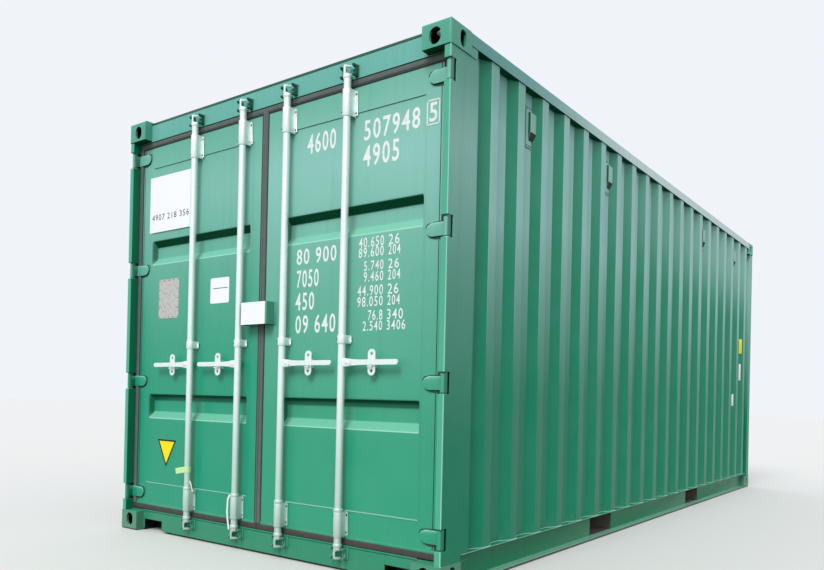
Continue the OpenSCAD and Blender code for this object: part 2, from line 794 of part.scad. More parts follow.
// Ring round a leaf, reaching out by jamb, seam, low and high
module seal_ring(x0, jamb, seam, low, high, y0, y1)
    difference() {
        slab(x0 - seam, leaf_x1 + jamb, y0, y1, leaf_z0 - low, leaf_z1 + high);
        slab(x0, leaf_x1, y0 - eps, y1 + eps, leaf_z0, leaf_z1);
    }

// Rubber seal: a body round the frame with a lip at the front and one at the back
module leaf_seal(x0)
    color("dimgray") {
        seal_ring(x0, seal_body, seal_body, seal_body, seal_body, door_y, door_y + seal_depth);
        for (y = [door_y, door_y + seal_depth - seal_lip])
            seal_ring(x0, jamb_gap - seal_clear, seam_half - seam_clear, lintel_gap - seal_clear,
                      header_gap - seal_clear, y, y + seal_lip);
    }

// Hinge blade: knuckle, leg back to the leaf face and a plate with a rounded end
module hinge_blade() {
    face = door_y - pin_y;
    heel = blade_t - knuckle_r;
    foot = (knuckle_h - blade_h) / 2;
    head = foot + blade_h;
    difference() {
        union() {
            cylinder(r = knuckle_r, h = knuckle_h);
            slab(-knuckle_r, heel, 0, face, foot, head);
            along_y(face - blade_t, face) {
                translate([blade_r - blade_l, foot]) square([blade_l - blade_r + heel, blade_h]);
                translate([-blade_l, foot + blade_r]) square([blade_r, blade_h - 2 * blade_r]);
                for (z = [foot + blade_r, head - blade_r])
                    translate([blade_r - blade_l, z]) circle(blade_r);
            }
        }
        translate([0, 0, -eps]) cylinder(r = pin_r + pin_fit, h = knuckle_h + 2 * eps);
    }
}

module hinge_blades()
    color("mediumseagreen")
    for (z = hinge_zs) translate([pin_x, pin_y, z - knuckle_h / 2]) hinge_blade();

// Guide over a bar: hat section with a wide flange towards +X, standing on y = base_y
module guide(h, base_y, flange) {
    leg = base_y - bar_y;
    difference() {
        union() {
            cylinder(r = guide_r, h = h);
            slab(-guide_r, guide_r, 0, leg, 0, h);
            slab(-guide_tab, flange, leg - guide_t, leg, 0, h);
        }
        translate([0, 0, -eps]) cylinder(r = bar_r + bar_fit, h = h + 2 * eps);
        slab(-bar_r - bar_fit, bar_r + bar_fit, 0, leg + eps, -eps, h + eps);
    }
}

module bar_guides(wide)
    color("silver")
    for (x = [bar_in, bar_out])
        translate([x, bar_y, 0]) mirror([wide < 0 ? 1 : 0, 0, 0]) {
            translate([0, 0, leaf_z0 + guide_low]) guide(guide_h, door_y, guide_flange);
            translate([0, 0, mid_guide_z - mid_guide_h / 2]) guide(mid_guide_h, panel_y, mid_flange);
            translate([0, 0, leaf_z1 - guide_top - guide_h]) guide(guide_h, door_y, guide_flange);
        }

// Handle retainer: stand-off on the panel, oval plate with two seal holes, shelf under the handle
module retainer() {
    plate_y = handle_t / 2 + retainer_gap;
    seal_z = retainer_h / 2 - retainer_w / 2;
    rotate([-90, 0, 0]) translate([0, 0, plate_y]) linear_extrude(retainer_t)
        difference() {
            rotate(90) stadium(retainer_h, retainer_w);
            for (s = [-1, 1]) translate([0, s * seal_z]) circle(seal_hole_r);
        }
    slab(-stand_w / 2, stand_w / 2, plate_y + retainer_t + weld_gap, panel_y - bar_y, -grip_h, grip_h);
    slab(-stand_w / 2, stand_w / 2, -handle_t, plate_y - weld_gap,
         -grip_h / 2 - retainer_gap - retainer_t, -grip_h / 2 - retainer_gap);
}

module handle_retainers()
    color("silver")
    for (x = [bar_in, bar_out]) translate([x + retainer_x, bar_y, handle_z]) retainer();

// One half of the lock box: front, top and outer end, open below and at the seam
module lock_box(seam, reach)
    color("mediumseagreen")
    difference() {
        slab(seam, reach, door_y - box_depth, door_y, box_z - box_h / 2, box_z + box_h / 2);
        slab(seam - eps, reach - box_t, door_y - box_depth + box_t, door_y + eps,
             box_z - box_h / 2 - eps, box_z + box_h / 2 - box_t);
    }

// Forged bar end from z = 0 upwards: two nose plates with a core between them
module cam() {
    for (z = [0, cam_block_h - cam_h]) translate([0, 0, z]) {
        cylinder(r = bar_r, h = cam_h);
        slab(0, cam_reach - cam_r, -cam_r, cam_r, 0, cam_h);
        translate([cam_reach - cam_r, 0, 0]) cylinder(r = cam_r, h = cam_h);
    }
    translate([0, 0, cam_h + weld_gap]) cylinder(r = bar_r, h = cam_gap - 2 * weld_gap);
}

// Bar tube between two forged ends, with the hub plates and pin for its handle
module locking_bar() {
    hub_y = handle_t / 2 + hub_fit;
    tube_z0 = bar_z0 + cam_block_h + weld_gap;
    tube_l = bar_z1 - cam_block_h - weld_gap - tube_z0;
    color("silver")
    translate([0, bar_y, 0]) {
        translate([0, 0, bar_z0]) cam();
        translate([0, 0, bar_z1 - cam_block_h]) cam();
        translate([0, 0, tube_z0]) difference() {
            cylinder(r = bar_r, h = tube_l);
            translate([0, 0, -eps]) cylinder(r = bar_bore, h = tube_l + 2 * eps);
        }
        for (y = [-hub_y - hub_t, hub_y])
            translate([0, y, handle_z]) {
                slab(bar_r, pivot_x, 0, hub_t, -hub_h / 2, hub_h / 2);
                translate([pivot_x, 0, 0]) rotate([-90, 0, 0]) cylinder(d = hub_h, h = hub_t);
            }
        translate([pivot_x, -hub_y - hub_t, handle_z]) rotate([-90, 0, 0])
            cylinder(r = pivot_r, h = 2 * (hub_y + hub_t));
    }
}

// Flat handle, wide at the pivot, tapering to a straight grip with a round tip
module handle() {
    taper_x = pivot_x + taper_l;
    tip_x = handle_l - grip_h / 2;
    color("silver")
    translate([0, bar_y + handle_t / 2, handle_z]) rotate([90, 0, 0]) linear_extrude(handle_t)
        difference() {
            union() {
                translate([pivot_x, 0]) circle(d = root_h);
                polygon([[pivot_x, -root_h / 2], [taper_x, -grip_h / 2], [tip_x, -grip_h / 2],
                         [tip_x, grip_h / 2], [taper_x, grip_h / 2], [pivot_x, root_h / 2]]);
                translate([tip_x, 0]) circle(d = grip_h);
            }
            translate([pivot_x, 0]) circle(r = pivot_r + bar_fit);
        }
}

castings(0, 1);  // bottom_castings_door_end
castings(0, 0);  // bottom_castings_closed_end
castings(1, 1);  // top_castings_door_end
castings(1, 0);  // top_castings_closed_end
on_left() door_post();  // door_post_left
door_post();  // door_post_right
end_posts();
door_header();
door_sill();
end_top_rail();
end_bottom_rail();
top_side_rails();
on_left() bottom_rail();  // bottom_rail_left
bottom_rail();  // bottom_rail_right
on_left() side_wall();  // side_wall_left
side_wall();  // side_wall_right
end_wall();
roof_sheet();
roof_corner_plates();
cross_members();
fork_pockets();
floor_boards();
hinge_pins();
cam_keepers();
ventilators();
on_left() leaf_frame(left_x0);  // leaf_frame_left
on_left() leaf_panel();  // leaf_panel_left
on_left() leaf_seal(left_x0);  // leaf_seal_left
on_left() hinge_blades();  // hinge_blades_left
on_left() bar_guides(-1);  // bar_guides_left
on_left() handle_retainers();  // handle_retainers_left
on_left() lock_box(box_seam - seam_x, box_left);  // lock_box_left
leaf_frame(right_x0);  // leaf_frame_right
leaf_panel();  // leaf_panel_right
leaf_seal(right_x0);  // leaf_seal_right
hinge_blades();  // hinge_blades_right
bar_guides(1);  // bar_guides_right
handle_retainers();  // handle_retainers_right
lock_box(box_seam + seam_x, box_right);  // lock_box_right
on_left() translate([bar_out, 0, 0]) locking_bar();  // locking_bar_1
on_left() translate([bar_in, 0, 0]) locking_bar();  // locking_bar_2
translate([bar_in, 0, 0]) locking_bar();  // locking_bar_3
translate([bar_out, 0, 0]) locking_bar();  // locking_bar_4
on_left() translate([bar_out, 0, 0]) handle();  // handle_1
on_left() translate([bar_in, 0, 0]) handle();  // handle_2
translate([bar_in, 0, 0]) handle();  // handle_3
translate([bar_out, 0, 0]) handle();  // handle_4
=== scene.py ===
import math
import bmesh
import bpy
import numpy as np
from mathutils import Matrix, Vector


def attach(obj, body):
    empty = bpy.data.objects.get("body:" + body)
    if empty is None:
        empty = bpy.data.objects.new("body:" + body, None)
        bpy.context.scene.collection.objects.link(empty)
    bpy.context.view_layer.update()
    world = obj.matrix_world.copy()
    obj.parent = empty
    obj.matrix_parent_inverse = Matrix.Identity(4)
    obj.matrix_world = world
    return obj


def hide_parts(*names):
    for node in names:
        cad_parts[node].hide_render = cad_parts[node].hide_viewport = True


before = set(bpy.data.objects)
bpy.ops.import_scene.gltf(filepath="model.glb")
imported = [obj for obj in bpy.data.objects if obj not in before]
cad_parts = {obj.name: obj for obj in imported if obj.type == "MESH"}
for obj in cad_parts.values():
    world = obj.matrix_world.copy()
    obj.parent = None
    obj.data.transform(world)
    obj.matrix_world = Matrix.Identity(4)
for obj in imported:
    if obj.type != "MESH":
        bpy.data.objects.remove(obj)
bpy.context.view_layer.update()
scene = bpy.context.scene
print("frame loaded")

# Main sizes of the container, in metres, repeated from the part's source
hull = dict(castInX=1.057, castInY=2.851, castTop=0.1185, castFoot=2.4725, railLow=2.523, baseZ=0.150,
            postBackY=-2.785, endFrontY=2.925)
leaf = dict(x0=dict(left=0.050, right=-0.004), x1=1.150, z0=0.165, z1=2.432, face=-2.965,
            panel=-2.961, panelX0=0.119, panelX1=1.050, panelZ0=0.304, panelZ1=2.296)
barPlace = dict(y=-3.004, radius=0.019, xs={1: -0.593, 2: -0.173, 3: 0.173, 4: 0.593},
                handleZ=1.044)
sill = dict(face=-2.977)
header = dict(face=-2.977, top=2.583)


# Camera matched to the photograph
view = dict(position=(3.060, -5.892, 0.878), azimuth=38.083, elevation=-0.229, roll=1.259,
            focal=759.18, centre=(372.84, 393.32), image=(824, 570))


def aimCamera():
    a, e, r = (math.radians(view[k]) for k in ("azimuth", "elevation", "roll"))
    back = Vector((math.sin(a) * math.cos(e), -math.cos(a) * math.cos(e), math.sin(e)))
    right = Vector((0, 0, 1)).cross(back).normalized()
    up = back.cross(right)
    tiltedRight = right * math.cos(r) + up * math.sin(r)
    tiltedUp = up * math.cos(r) - right * math.sin(r)
    turn = Matrix((tiltedRight, tiltedUp, back)).transposed().to_4x4()
    data = bpy.data.cameras.new("photoCamera")
    data.sensor_width = 36
    data.lens = view["focal"] / view["image"][0] * 36
    data.shift_x = (view["image"][0] / 2 - view["centre"][0]) / view["image"][0]
    data.shift_y = (view["centre"][1] - view["image"][1] / 2) / view["image"][0]
    data.clip_end = 300
    camera = bpy.data.objects.new("photoCamera", data)
    scene.collection.objects.link(camera)
    camera.matrix_world = Matrix.Translation(view["position"]) @ turn
    scene.camera = camera


aimCamera()


# Material helpers
def plug(tree, node, key, value):
    # links a socket, or sets a plain value
    if isinstance(value, bpy.types.NodeSocket):
        tree.links.new(value, node.inputs[key])
    else:
        node.inputs[key].default_value = value


def addNode(tree, kind, inputs=None, **settings):
    node = tree.nodes.new("ShaderNode" + kind)
    for key, value in settings.items():
        setattr(node, key, value)
    for key, value in (inputs or {}).items():
        plug(tree, node, key, value)
    return node


def rgb(*srgb):
    # from written 0-255 values to linear colour
    c = np.array(srgb) / 255
    return (*np.where(c < 0.04045, c / 12.92, ((c + 0.055) / 1.055) ** 2.4), 1)


def newGroup(name, colours, values):
    group = bpy.data.node_groups.new(name, "ShaderNodeTree")
    for key in colours:
        group.interface.new_socket(key, in_out="INPUT", socket_type="NodeSocketColor")
    for key in values:
        group.interface.new_socket(key, in_out="INPUT", socket_type="NodeSocketFloat")
    return group, group.nodes.new("NodeGroupInput").outputs


def closeGroup(group, results):
    for key, (kind, _) in results.items():
        group.interface.new_socket(key, in_out="OUTPUT", socket_type="NodeSocket" + kind)
    end = group.nodes.new("NodeGroupOutput")
    for key, (_, socket) in results.items():
        group.links.new(socket, end.inputs[key])
    return group


def mixColour(tree, factor, a, b):
    return addNode(tree, "Mix", {0: factor, 6: a, 7: b}, data_type="RGBA").outputs[2]


def maths(tree, operation, a, b=0.0, clamp=False):
    return addNode(tree, "Math", {0: a, 1: b}, operation=operation, use_clamp=clamp).outputs[0]


def times(tree, *factors):
    result = factors[0]
    for factor in factors[1:]:
        result = maths(tree, "MULTIPLY", result, factor)
    return result


def without(tree, value, share):
    # value * (1 - share)
    return times(tree, value, maths(tree, "SUBTRACT", 1.0, share))


def remap(tree, value, low, high, toLow=0.0, toHigh=1.0, smooth=True):
    return addNode(tree, "MapRange", {"Value": value, "From Min": low, "From Max": high,
                                      "To Min": toLow, "To Max": toHigh},
                   interpolation_type="SMOOTHSTEP" if smooth else "LINEAR").outputs[0]


def noise(tree, coords, scale, stretch=(1, 1, 1), detail=3.0, roughness=0.5, offset=(0, 0, 0)):
    place = addNode(tree, "Mapping", {"Vector": coords, "Scale": stretch, "Location": offset})
    return addNode(tree, "TexNoise", {"Vector": place.outputs[0], "Scale": scale, "Detail": detail,
                                      "Roughness": roughness}).outputs[0]


# Paint: a painted light, top * ((height - foot) / span) ^ 1.4 towards the pale tone, less beneath the
# top rails near the doors, by Far less near the doors, and by Slopes none on wall slopes that face the
# doors; each of these cuts is painted shade. By Slopes the far upper wall is paler too (painted light),
# and ridge bends have a painted highlight line. Faces that look down are dark and dull (painted shade),
# and by Ends a door's trough ends are dark (painted shade) and its upward-facing slopes and ledges light
# (painted highlights). Slow patches, faint rain streaks, mud near the ground and small chips lie over
# it, and Height is the sprayed film's ripple
# tones for the far wall, upward-facing slopes and ledges are painted light, those for trough ends and faces
# that look down painted shade; mud and chip are real dirt and wear
weatherAndLightTones = dict(pale=(190, 226, 220), mud=(150, 134, 112), chip=(96, 76, 60), rising=(116, 192, 162),
                    ledge=(176, 224, 206), end=(0, 84, 56), under=(0, 74, 48))


def weatherAndLightGroup():
    group, given = newGroup("paintWeatherAndLight", ("Paint", "LitAndFaded", "Grime"),
                            ("LightFoot", "LightSpan", "LightTop", "Far", "Slopes", "Ends", "Streaks",
                             "Mud", "Chips"))
    point = addNode(group, "TexCoord").outputs
    coords = point["Object"]
    across, along, height = addNode(group, "SeparateXYZ", {0: coords}).outputs
    facingX, facingY, facingZ = addNode(group, "SeparateXYZ", {0: point["Normal"]}).outputs

    def fade(*limits):
        return remap(group, *limits)

    def tint(body, colour, *shares):
        tone = rgb(*weatherAndLightTones[colour]) if colour in weatherAndLightTones else given[colour]
        return mixColour(group, times(group, *shares), body, tone)

    cloud = noise(group, coords, 0.9, detail=4)
    patches = noise(group, coords, 5.0, detail=3, offset=(3, 1, 7))
    rain = noise(group, coords, 1.0, (22, 22, 0.8), 4, 0.55)
    ripple = noise(group, coords, 260.0, detail=2)
    scuff = noise(group, coords, 34.0, (1, 1, 0.6), 5, 0.7, (1, 8, 3))
    raised = maths(group, "DIVIDE", maths(group, "SUBTRACT", height, given["LightFoot"]),
                   given["LightSpan"], True)
    paintedLight = times(group, maths(group, "POWER", raised, 1.4), given["LightTop"])
    # painted shade: less of the painted light beneath the top rails near the doors, by Far near the doors and
    # by Slopes on wall slopes that face the doors
    railShade = times(group, fade(height, 2.02, 2.46, 0.0, 0.55), fade(along, -1.2, -2.6))
    for share in (railShade, times(group, fade(along, 0.6, -3.4), given["Far"]),
                  times(group, fade(facingY, -0.20, -0.42), given["Slopes"])):
        paintedLight = without(group, paintedLight, share)
    paintedLight = maths(group, "MULTIPLY", paintedLight, fade(cloud, 0.25, 0.75, 0.88, 1.12), True)
    # painted light: the paint paler towards the pale tone
    body = tint(given["Paint"], "LitAndFaded", paintedLight)
    # painted light: the far upper wall paler, by Slopes
    body = tint(body, "pale", fade(along, -2.2, 2.4), fade(height, 1.7, 2.3, 0.0, 0.5), given["Slopes"])
    body = tint(body, "LitAndFaded", fade(patches, 0.3, 0.7, 0.0, 0.04, False))
    # painted highlight: a light line on ridge bends that face the doors, by Slopes
    crest = fade(maths(group, "ABSOLUTE", across), 1.198, 1.206)
    body = tint(body, "LitAndFaded", fade(facingY, -0.03, -0.16), fade(facingY, -0.44, -0.30), crest,
                given["Slopes"], fade(height, 0.9, 1.7, 0.0, 0.7))
    body = tint(body, "Grime", fade(rain, 0.50, 0.74), given["Streaks"])
    low = fade(height, 0.34, 0.0)
    splash = fade(maths(group, "ADD", scuff, times(group, low, 0.34)), 0.62, 0.80)
    mudMask = maths(group, "MULTIPLY", times(group, splash, low), given["Mud"], True)
    body = tint(body, "mud", mudMask)
    chipMask = times(group, fade(scuff, 0.745, 0.775), given["Chips"])
    body = tint(body, "chip", chipMask)
    # painted highlight: upward-facing slopes and ledges of the doors lighter, by Ends
    body = tint(body, "rising", fade(facingZ, 0.25, 0.45), fade(facingZ, 0.90, 0.75), given["Ends"])
    body = tint(body, "ledge", fade(facingZ, 0.04, 0.14), fade(facingZ, 0.52, 0.34),
                fade(along, -2.945, -2.955), given["Ends"])
    # painted shade: a door's trough ends that face along +x dark, by Ends
    body = tint(body, "end", fade(facingX, 0.35, 0.75), given["Ends"])
    # painted shade: faces that look down dark and dull, less so deep in the lower trough
    deep = times(group, fade(along, -2.952, -2.932, 0.0, 0.8), fade(height, 1.3, 1.1), given["Ends"])
    under = without(group, fade(facingZ, -0.30, -0.66), deep)
    body = tint(body, "under", under)
    rough = maths(group, "ADD", fade(patches, 0.3, 0.7, 0.34, 0.44, False),
                  times(group, maths(group, "ADD", paintedLight, mudMask), 0.18))
    lift = maths(group, "SUBTRACT", times(group, ripple, 0.25), times(group, chipMask, 0.8))
    lift = maths(group, "ADD", lift, times(group, patches, 1.2))
    shine = without(group, 1.0, times(group, under, 0.9))
    return closeGroup(group, {"Color": ("Color", body), "Roughness": ("Float", rough),
                              "Shine": ("Float", shine), "Height": ("Float", lift)})


# Fine grain for metal, rubber and plate: mottled tone and a small bump, darker low down by Shade (painted
# shade)
grainTones = dict(shade=(150, 188, 172), dust=(158, 146, 130))


def grainGroup():
    group, given = newGroup("surfaceGrain", ("Base", "Spot"), ("Scale", "Spots", "Dust", "Shade"))
    coords = addNode(group, "TexCoord").outputs["Object"]
    sized = addNode(group, "VectorMath", {0: coords}, operation="SCALE")
    plug(group, sized, 3, given["Scale"])
    coarse = noise(group, sized.outputs[0], 1.0, detail=5, roughness=0.6)
    fine = noise(group, sized.outputs[0], 9.0, detail=2)
    cells = addNode(group, "TexVoronoi", {"Vector": sized.outputs[0], "Scale": 3.0}).outputs["Color"]
    flake = addNode(group, "SeparateXYZ", {0: cells}).outputs[0]
    height = addNode(group, "SeparateXYZ", {0: coords}).outputs[2]
    spots = times(group, remap(group, coarse, 0.45, 0.75), given["Spots"])
    mixed = mixColour(group, spots, given["Base"], given["Spot"])
    mixed = mixColour(group, times(group, flake, given["Spots"], 0.25), mixed, given["Spot"])
    # painted shade: darker low down, by Shade
    shade = times(group, remap(group, height, 1.05, 0.35), given["Shade"])
    mixed = mixColour(group, shade, mixed, rgb(*grainTones["shade"]))
    dust = maths(group, "ADD", remap(group, coarse, 0.5, 0.8, 0, 0.4), remap(group, height, 0.5, 0.0))
    dustMask = maths(group, "MULTIPLY", dust, given["Dust"], True)
    mixed = mixColour(group, dustMask, mixed, rgb(*grainTones["dust"]))
    bumps = maths(group, "ADD", coarse, times(group, fine, 0.3))
    return closeGroup(group, {"Color": ("Color", mixed), "Mottle": ("Float", coarse),
                              "Height": ("Float", bumps)})


weatherAndLight = weatherAndLightGroup()
grain = grainGroup()


def startMaterial(name):
    material = bpy.data.materials.new(name)
    material.use_nodes = True
    tree = material.node_tree
    tree.nodes.clear()
    shader = addNode(tree, "BsdfPrincipled")
    end = tree.nodes.new("ShaderNodeOutputMaterial")
    tree.links.new(shader.outputs[0], end.inputs[0])
    return material, tree, shader


def useGroup(tree, group, values):
    node = tree.nodes.new("ShaderNodeGroup")
    node.node_tree = group
    for key, value in values.items():
        node.inputs[key].default_value = value
    return node.outputs


def addBump(tree, shader, height, strength, distance):
    bump = addNode(tree, "Bump", {"Height": height, "Strength": strength, "Distance": distance})
    tree.links.new(bump.outputs[0], shader.inputs["Normal"])


def inDepth(tree, limits, others=None):
    # 1 where |x|, |y|, the distance f to the front, the height z or r, the nearer of floor and roof,
    # are all between two limits
    place = addNode(tree, "SeparateXYZ", {0: addNode(tree, "TexCoord").outputs["Object"]}).outputs
    roofward = maths(tree, "MINIMUM", place[2], maths(tree, "SUBTRACT", 2.591, place[2]))
    spots = {"x": maths(tree, "ABSOLUTE", place[0]), "y": maths(tree, "ABSOLUTE", place[1]),
             "f": times(tree, place[1], -1.0), "z": place[2], "r": roofward}
    mask = 1.0
    for key, (low, high) in limits.items():
        mask = times(tree, mask, remap(tree, spots[key], low - 0.0006, low + 0.0006),
                     remap(tree, spots[key], high + 0.0006, high - 0.0006))
    return maths(tree, "MAXIMUM", mask, inDepth(tree, others)) if others else mask


def paintMaterial(name, paintedLight, wear, specular=0.5, tones=None, *marks):
    # the first tuple sets the painted light: foot, span, top, Far, Slopes, Ends; wear is streaks, mud,
    # chips; a mark is a tone and the limits that it lies in
    material, tree, shader = startMaterial(name)
    values = {key: rgb(*tone) for key, tone in dict(paintTones, **(tones or {})).items()}
    values.update(zip(("LightFoot", "LightSpan", "LightTop", "Far", "Slopes", "Ends"), paintedLight))
    values.update(zip(("Streaks", "Mud", "Chips"), wear))
    out = useGroup(tree, weatherAndLight, values)
    colour = out["Color"]
    for tone, *limits in marks:
        colour = mixColour(tree, inDepth(tree, *limits), colour, rgb(*tone))
    plug(tree, shader, "Base Color", colour)
    plug(tree, shader, "Roughness", out["Roughness"])
    plug(tree, shader, "Specular IOR Level", times(tree, out["Shine"], specular))
    addBump(tree, shader, out["Height"], 0.35, 0.0006)
    return material


def grainMaterial(name, base, spot, amounts, rough, metallic=0.0, bump=0.3, dark=None):
    # amounts is scale, spots, dust, shade
    material, tree, shader = startMaterial(name)
    values = dict(Base=rgb(*base), Spot=rgb(*spot))
    values.update(zip(("Scale", "Spots", "Dust", "Shade"), amounts))
    out = useGroup(tree, grain, values)
    colour = out["Color"]
    if dark:
        colour = mixColour(tree, inDepth(tree, *dark[1:]), colour, rgb(*dark[0]))
    plug(tree, shader, "Base Color", colour)
    plug(tree, shader, "Roughness", remap(tree, out["Mottle"], 0.3, 0.7, *rough, False))
    plug(tree, shader, "Metallic", metallic)
    addBump(tree, shader, out["Height"], bump, 0.0004)
    return material


paintTones = dict(Paint=(38, 158, 120), LitAndFaded=(146, 202, 190), Grime=(46, 122, 98))
headerTones = dict(Paint=(34, 152, 126), LitAndFaded=(140, 202, 194))
sideTones = dict(Paint=(0, 134, 98), LitAndFaded=(160, 210, 198))
railTones = dict(Paint=(56, 152, 142), LitAndFaded=(214, 236, 232))
baseTones = dict(Paint=(24, 134, 92), LitAndFaded=(110, 170, 142), Grime=(26, 92, 66))
# a darker, shaded copy of the paint tones, for painted shade
shadeTones = dict(Paint=(10, 74, 52), LitAndFaded=(70, 136, 112), Grime=(16, 52, 40))
# painted shade: near black inside the castings' holes, on their inner faces behind the doors and inside the
# sill
castHollowShade = {"x": (1.0665, 1.2040), "y": (2.8605, 3.0140), "r": (0.014, 0.104)}
castInsideShade = {"x": (1.05, 1.0590), "f": (2.70, 2.9695), "z": (0.0, 0.090)}
sillInsideShade = {"x": (0.85, 1.0560), "f": (2.70, 2.9695), "z": (0.0, 0.090)}
# painted light and shade on the posts: inner faces darker (painted shade), front faces lighter (painted
# light) and a light strip at the front corner (painted highlight)
postShadeAndLight = (((22, 116, 84), {"x": (1.10, 1.1812), "f": (2.70, 3.10)}),
             ((84, 178, 144), {"x": (1.1825, 1.23), "f": (3.0190, 3.04)}),
             ((158, 216, 194), {"x": (1.2110, 1.23), "f": (3.0210, 3.04)}))
baseFoot = ((116, 178, 148), {"x": (1.14, 1.23), "z": (0.0, 0.022)})
sealFoot = ((62, 58, 56), {"z": (0.05, 0.1660)})
finishes = {
    "frame": paintMaterial("framePaint", (0.2, 2.4, 0.55), (0.12, 0.35, 0.5)),
    "header": paintMaterial("headerPaint", (0.2, 2.4, 1.1), (0.12, 0.35, 0.5), 0.5, headerTones),
    "casting": paintMaterial("castingPaint", (0.2, 2.4, 0.5), (0.12, 0.3, 0.5), 0.4,
                             dict(Paint=(34, 150, 116)), ((4, 10, 8), castHollowShade, castInsideShade)),
    "sill": paintMaterial("sillPaint", (0.0, 3.0, 0.5), (0.06, 0.06, 0.4), 0.5,
                          dict(Paint=(22, 142, 104)), ((4, 8, 7), sillInsideShade)),
    "post": paintMaterial("postPaint", (0.6, 1.45, 0.80), (0.10, 0.1, 0.4), 0.15, sideTones, *postShadeAndLight),
    "topRail": paintMaterial("topRailPaint", (0.2, 1.6, 1.3, 1.0), (0.15, 0.1, 0.3), 0.5, railTones),
    "base": paintMaterial("basePaint", (0.0, 3.0, 0.1), (0.25, 0.03, 0.7), 0.2, baseTones, baseFoot),
    # pale weld at the wall foot: the frame paint with the painted light at 0.8 everywhere
    "weld": paintMaterial("litWeldPaint", (-1.0, 1.0, 0.8), (0.10, 0.1, 0.4), 0.3),
    "wall": paintMaterial("wallPaint", (0.85, 1.15, 1.35, 0.05, 0.94), (0.12, 0.3, 0.2), 0.25, sideTones),
    "doorLeft": paintMaterial("doorPaintLeft", (0.95, 1.4, 0.98, 0, 0, 0.7), (0.10, 0.25, 0.3), 0.5,
                              dict(Paint=(10, 154, 117))),
    "doorRight": paintMaterial("doorPaintRight", (0.6, 1.65, 1.0, 0, 0, 0.7), (0.10, 0.25, 0.3)),
    # painted shade: the keepers' paint darkened, for the header keepers and dark strips that stand for shade
    "keeper": paintMaterial("shadedKeeperPaint", (0.0, 3.0, 0.3), (0.3, 0.3, 0.8), 0.5, shadeTones),
    "lowKeeper": paintMaterial("lowKeeperPaint", (0.0, 3.0, 0.3), (0.2, 0.0, 0.8), 0.5,
                               dict(Paint=(70, 148, 120))),
    "underside": grainMaterial("undersideCoat", (38, 41, 40), (72, 70, 64), (14, 0.6, 0.5), (0.6, 0.85)),
    "zinc": grainMaterial("galvanisedSteel", (240, 250, 246), (214, 226, 221), (46, 0.4, 0.06, 0.5),
                          (0.36, 0.50), 0.45),
    "rubber": grainMaterial("sealRubber", (84, 94, 90), (108, 118, 112), (22, 0.4, 0.10), (0.55, 0.8),
                            dark=sealFoot),
    "darkRubber": grainMaterial("sealGroove", (26, 30, 30), (44, 46, 46), (22, 0.4, 0.05), (0.6, 0.85)),
    "nut": grainMaterial("darkNut", (58, 66, 62), (96, 104, 100), (90, 0.5, 0.1), (0.4, 0.6), 0.4),
    "whiteFilm": grainMaterial("whiteFilm", (254, 254, 254), (244, 246, 244), (18, 0.25, 0.0),
                               (0.3, 0.45), 0, 0.15),
    # near black: painted shade in gaps and openings, and the printed border of the warning triangle
    "hollow": grainMaterial("hollowPaint", (4, 26, 18), (8, 38, 28), (30, 0.3, 0.0), (0.7, 0.9)),
    "plate": grainMaterial("dataPlate", (206, 204, 198), (150, 148, 144), (60, 0.7, 0.1), (0.4, 0.6), 0.3),
    "yellowFilm": grainMaterial("yellowFilm", (254, 236, 0), (246, 220, 2), (20, 0.3, 0.0),
                                (0.6, 0.75), 0, 0.15),
    "blackFilm": grainMaterial("blackFilm", (24, 24, 22), (44, 44, 40), (20, 0.3, 0.03),
                               (0.35, 0.5), 0, 0.15),
    "stencil": grainMaterial("stencilPaint", (244, 246, 242), (206, 222, 214), (70, 0.6, 0.02),
                             (0.4, 0.6), 0, 0.2),
    "tape": grainMaterial("paleTape", (206, 244, 170), (186, 232, 150), (40, 0.4, 0.05),
                          (0.4, 0.6), 0, 0.2),
}


# Plywood: long grain with rings, board-to-board tone and wheel scuffs
def plywoodMaterial():
    material, tree, shader = startMaterial("floorPlywood")
    coords = addNode(tree, "TexCoord").outputs["Object"]
    grainLines = noise(tree, coords, 1.0, (60, 3, 8), 5, 0.6)
    rings = noise(tree, coords, 2.2, (3, 0.5, 1), 3)
    wood = mixColour(tree, remap(tree, grainLines, 0.3, 0.7), rgb(132, 92, 58), rgb(176, 132, 88))
    wood = mixColour(tree, remap(tree, rings, 0.45, 0.75, 0, 0.5), wood, rgb(96, 66, 44))
    scuffs = noise(tree, coords, 7.0, (1, 0.25, 1), 5, 0.7)
    wood = mixColour(tree, remap(tree, scuffs, 0.58, 0.74, 0, 0.55), wood, rgb(70, 60, 52))
    tree.links.new(wood, shader.inputs["Base Color"])
    tree.links.new(remap(tree, scuffs, 0.3, 0.7, 0.5, 0.8, False), shader.inputs["Roughness"])
    addBump(tree, shader, grainLines, 0.3, 0.0005)
    return material


finishes["wood"] = plywoodMaterial()
print("materials made")


# Shape helpers: a shape is (points, faces)
def unit(v):
    return v / np.maximum(np.linalg.norm(v, axis=-1, keepdims=True), 1e-12)


def roundedPath(points, radius, steps=5):
    # every inner corner becomes the quadratic curve from tangent point to tangent point
    p = np.asarray(points, float)
    a, b, c = p[:-2], p[1:-1], p[2:]
    toA, toC = unit(a - b), unit(c - b)
    half = np.arccos(np.clip((toA * toC).sum(1), -1, 1)) / 2
    room = 0.48 * np.minimum(np.linalg.norm(a - b, axis=1), np.linalg.norm(c - b, axis=1))
    reach = np.minimum(radius / np.tan(half), room)[:, None]
    s = np.linspace(0, 1, steps)[None, :, None]
    start, end = (b + toA * reach)[:, None], (b + toC * reach)[:, None]
    bends = (1 - s) ** 2 * start + 2 * s * (1 - s) * b[:, None] + s ** 2 * end
    return np.concatenate([p[:1], bends.reshape(-1, p.shape[1]), p[-1:]])


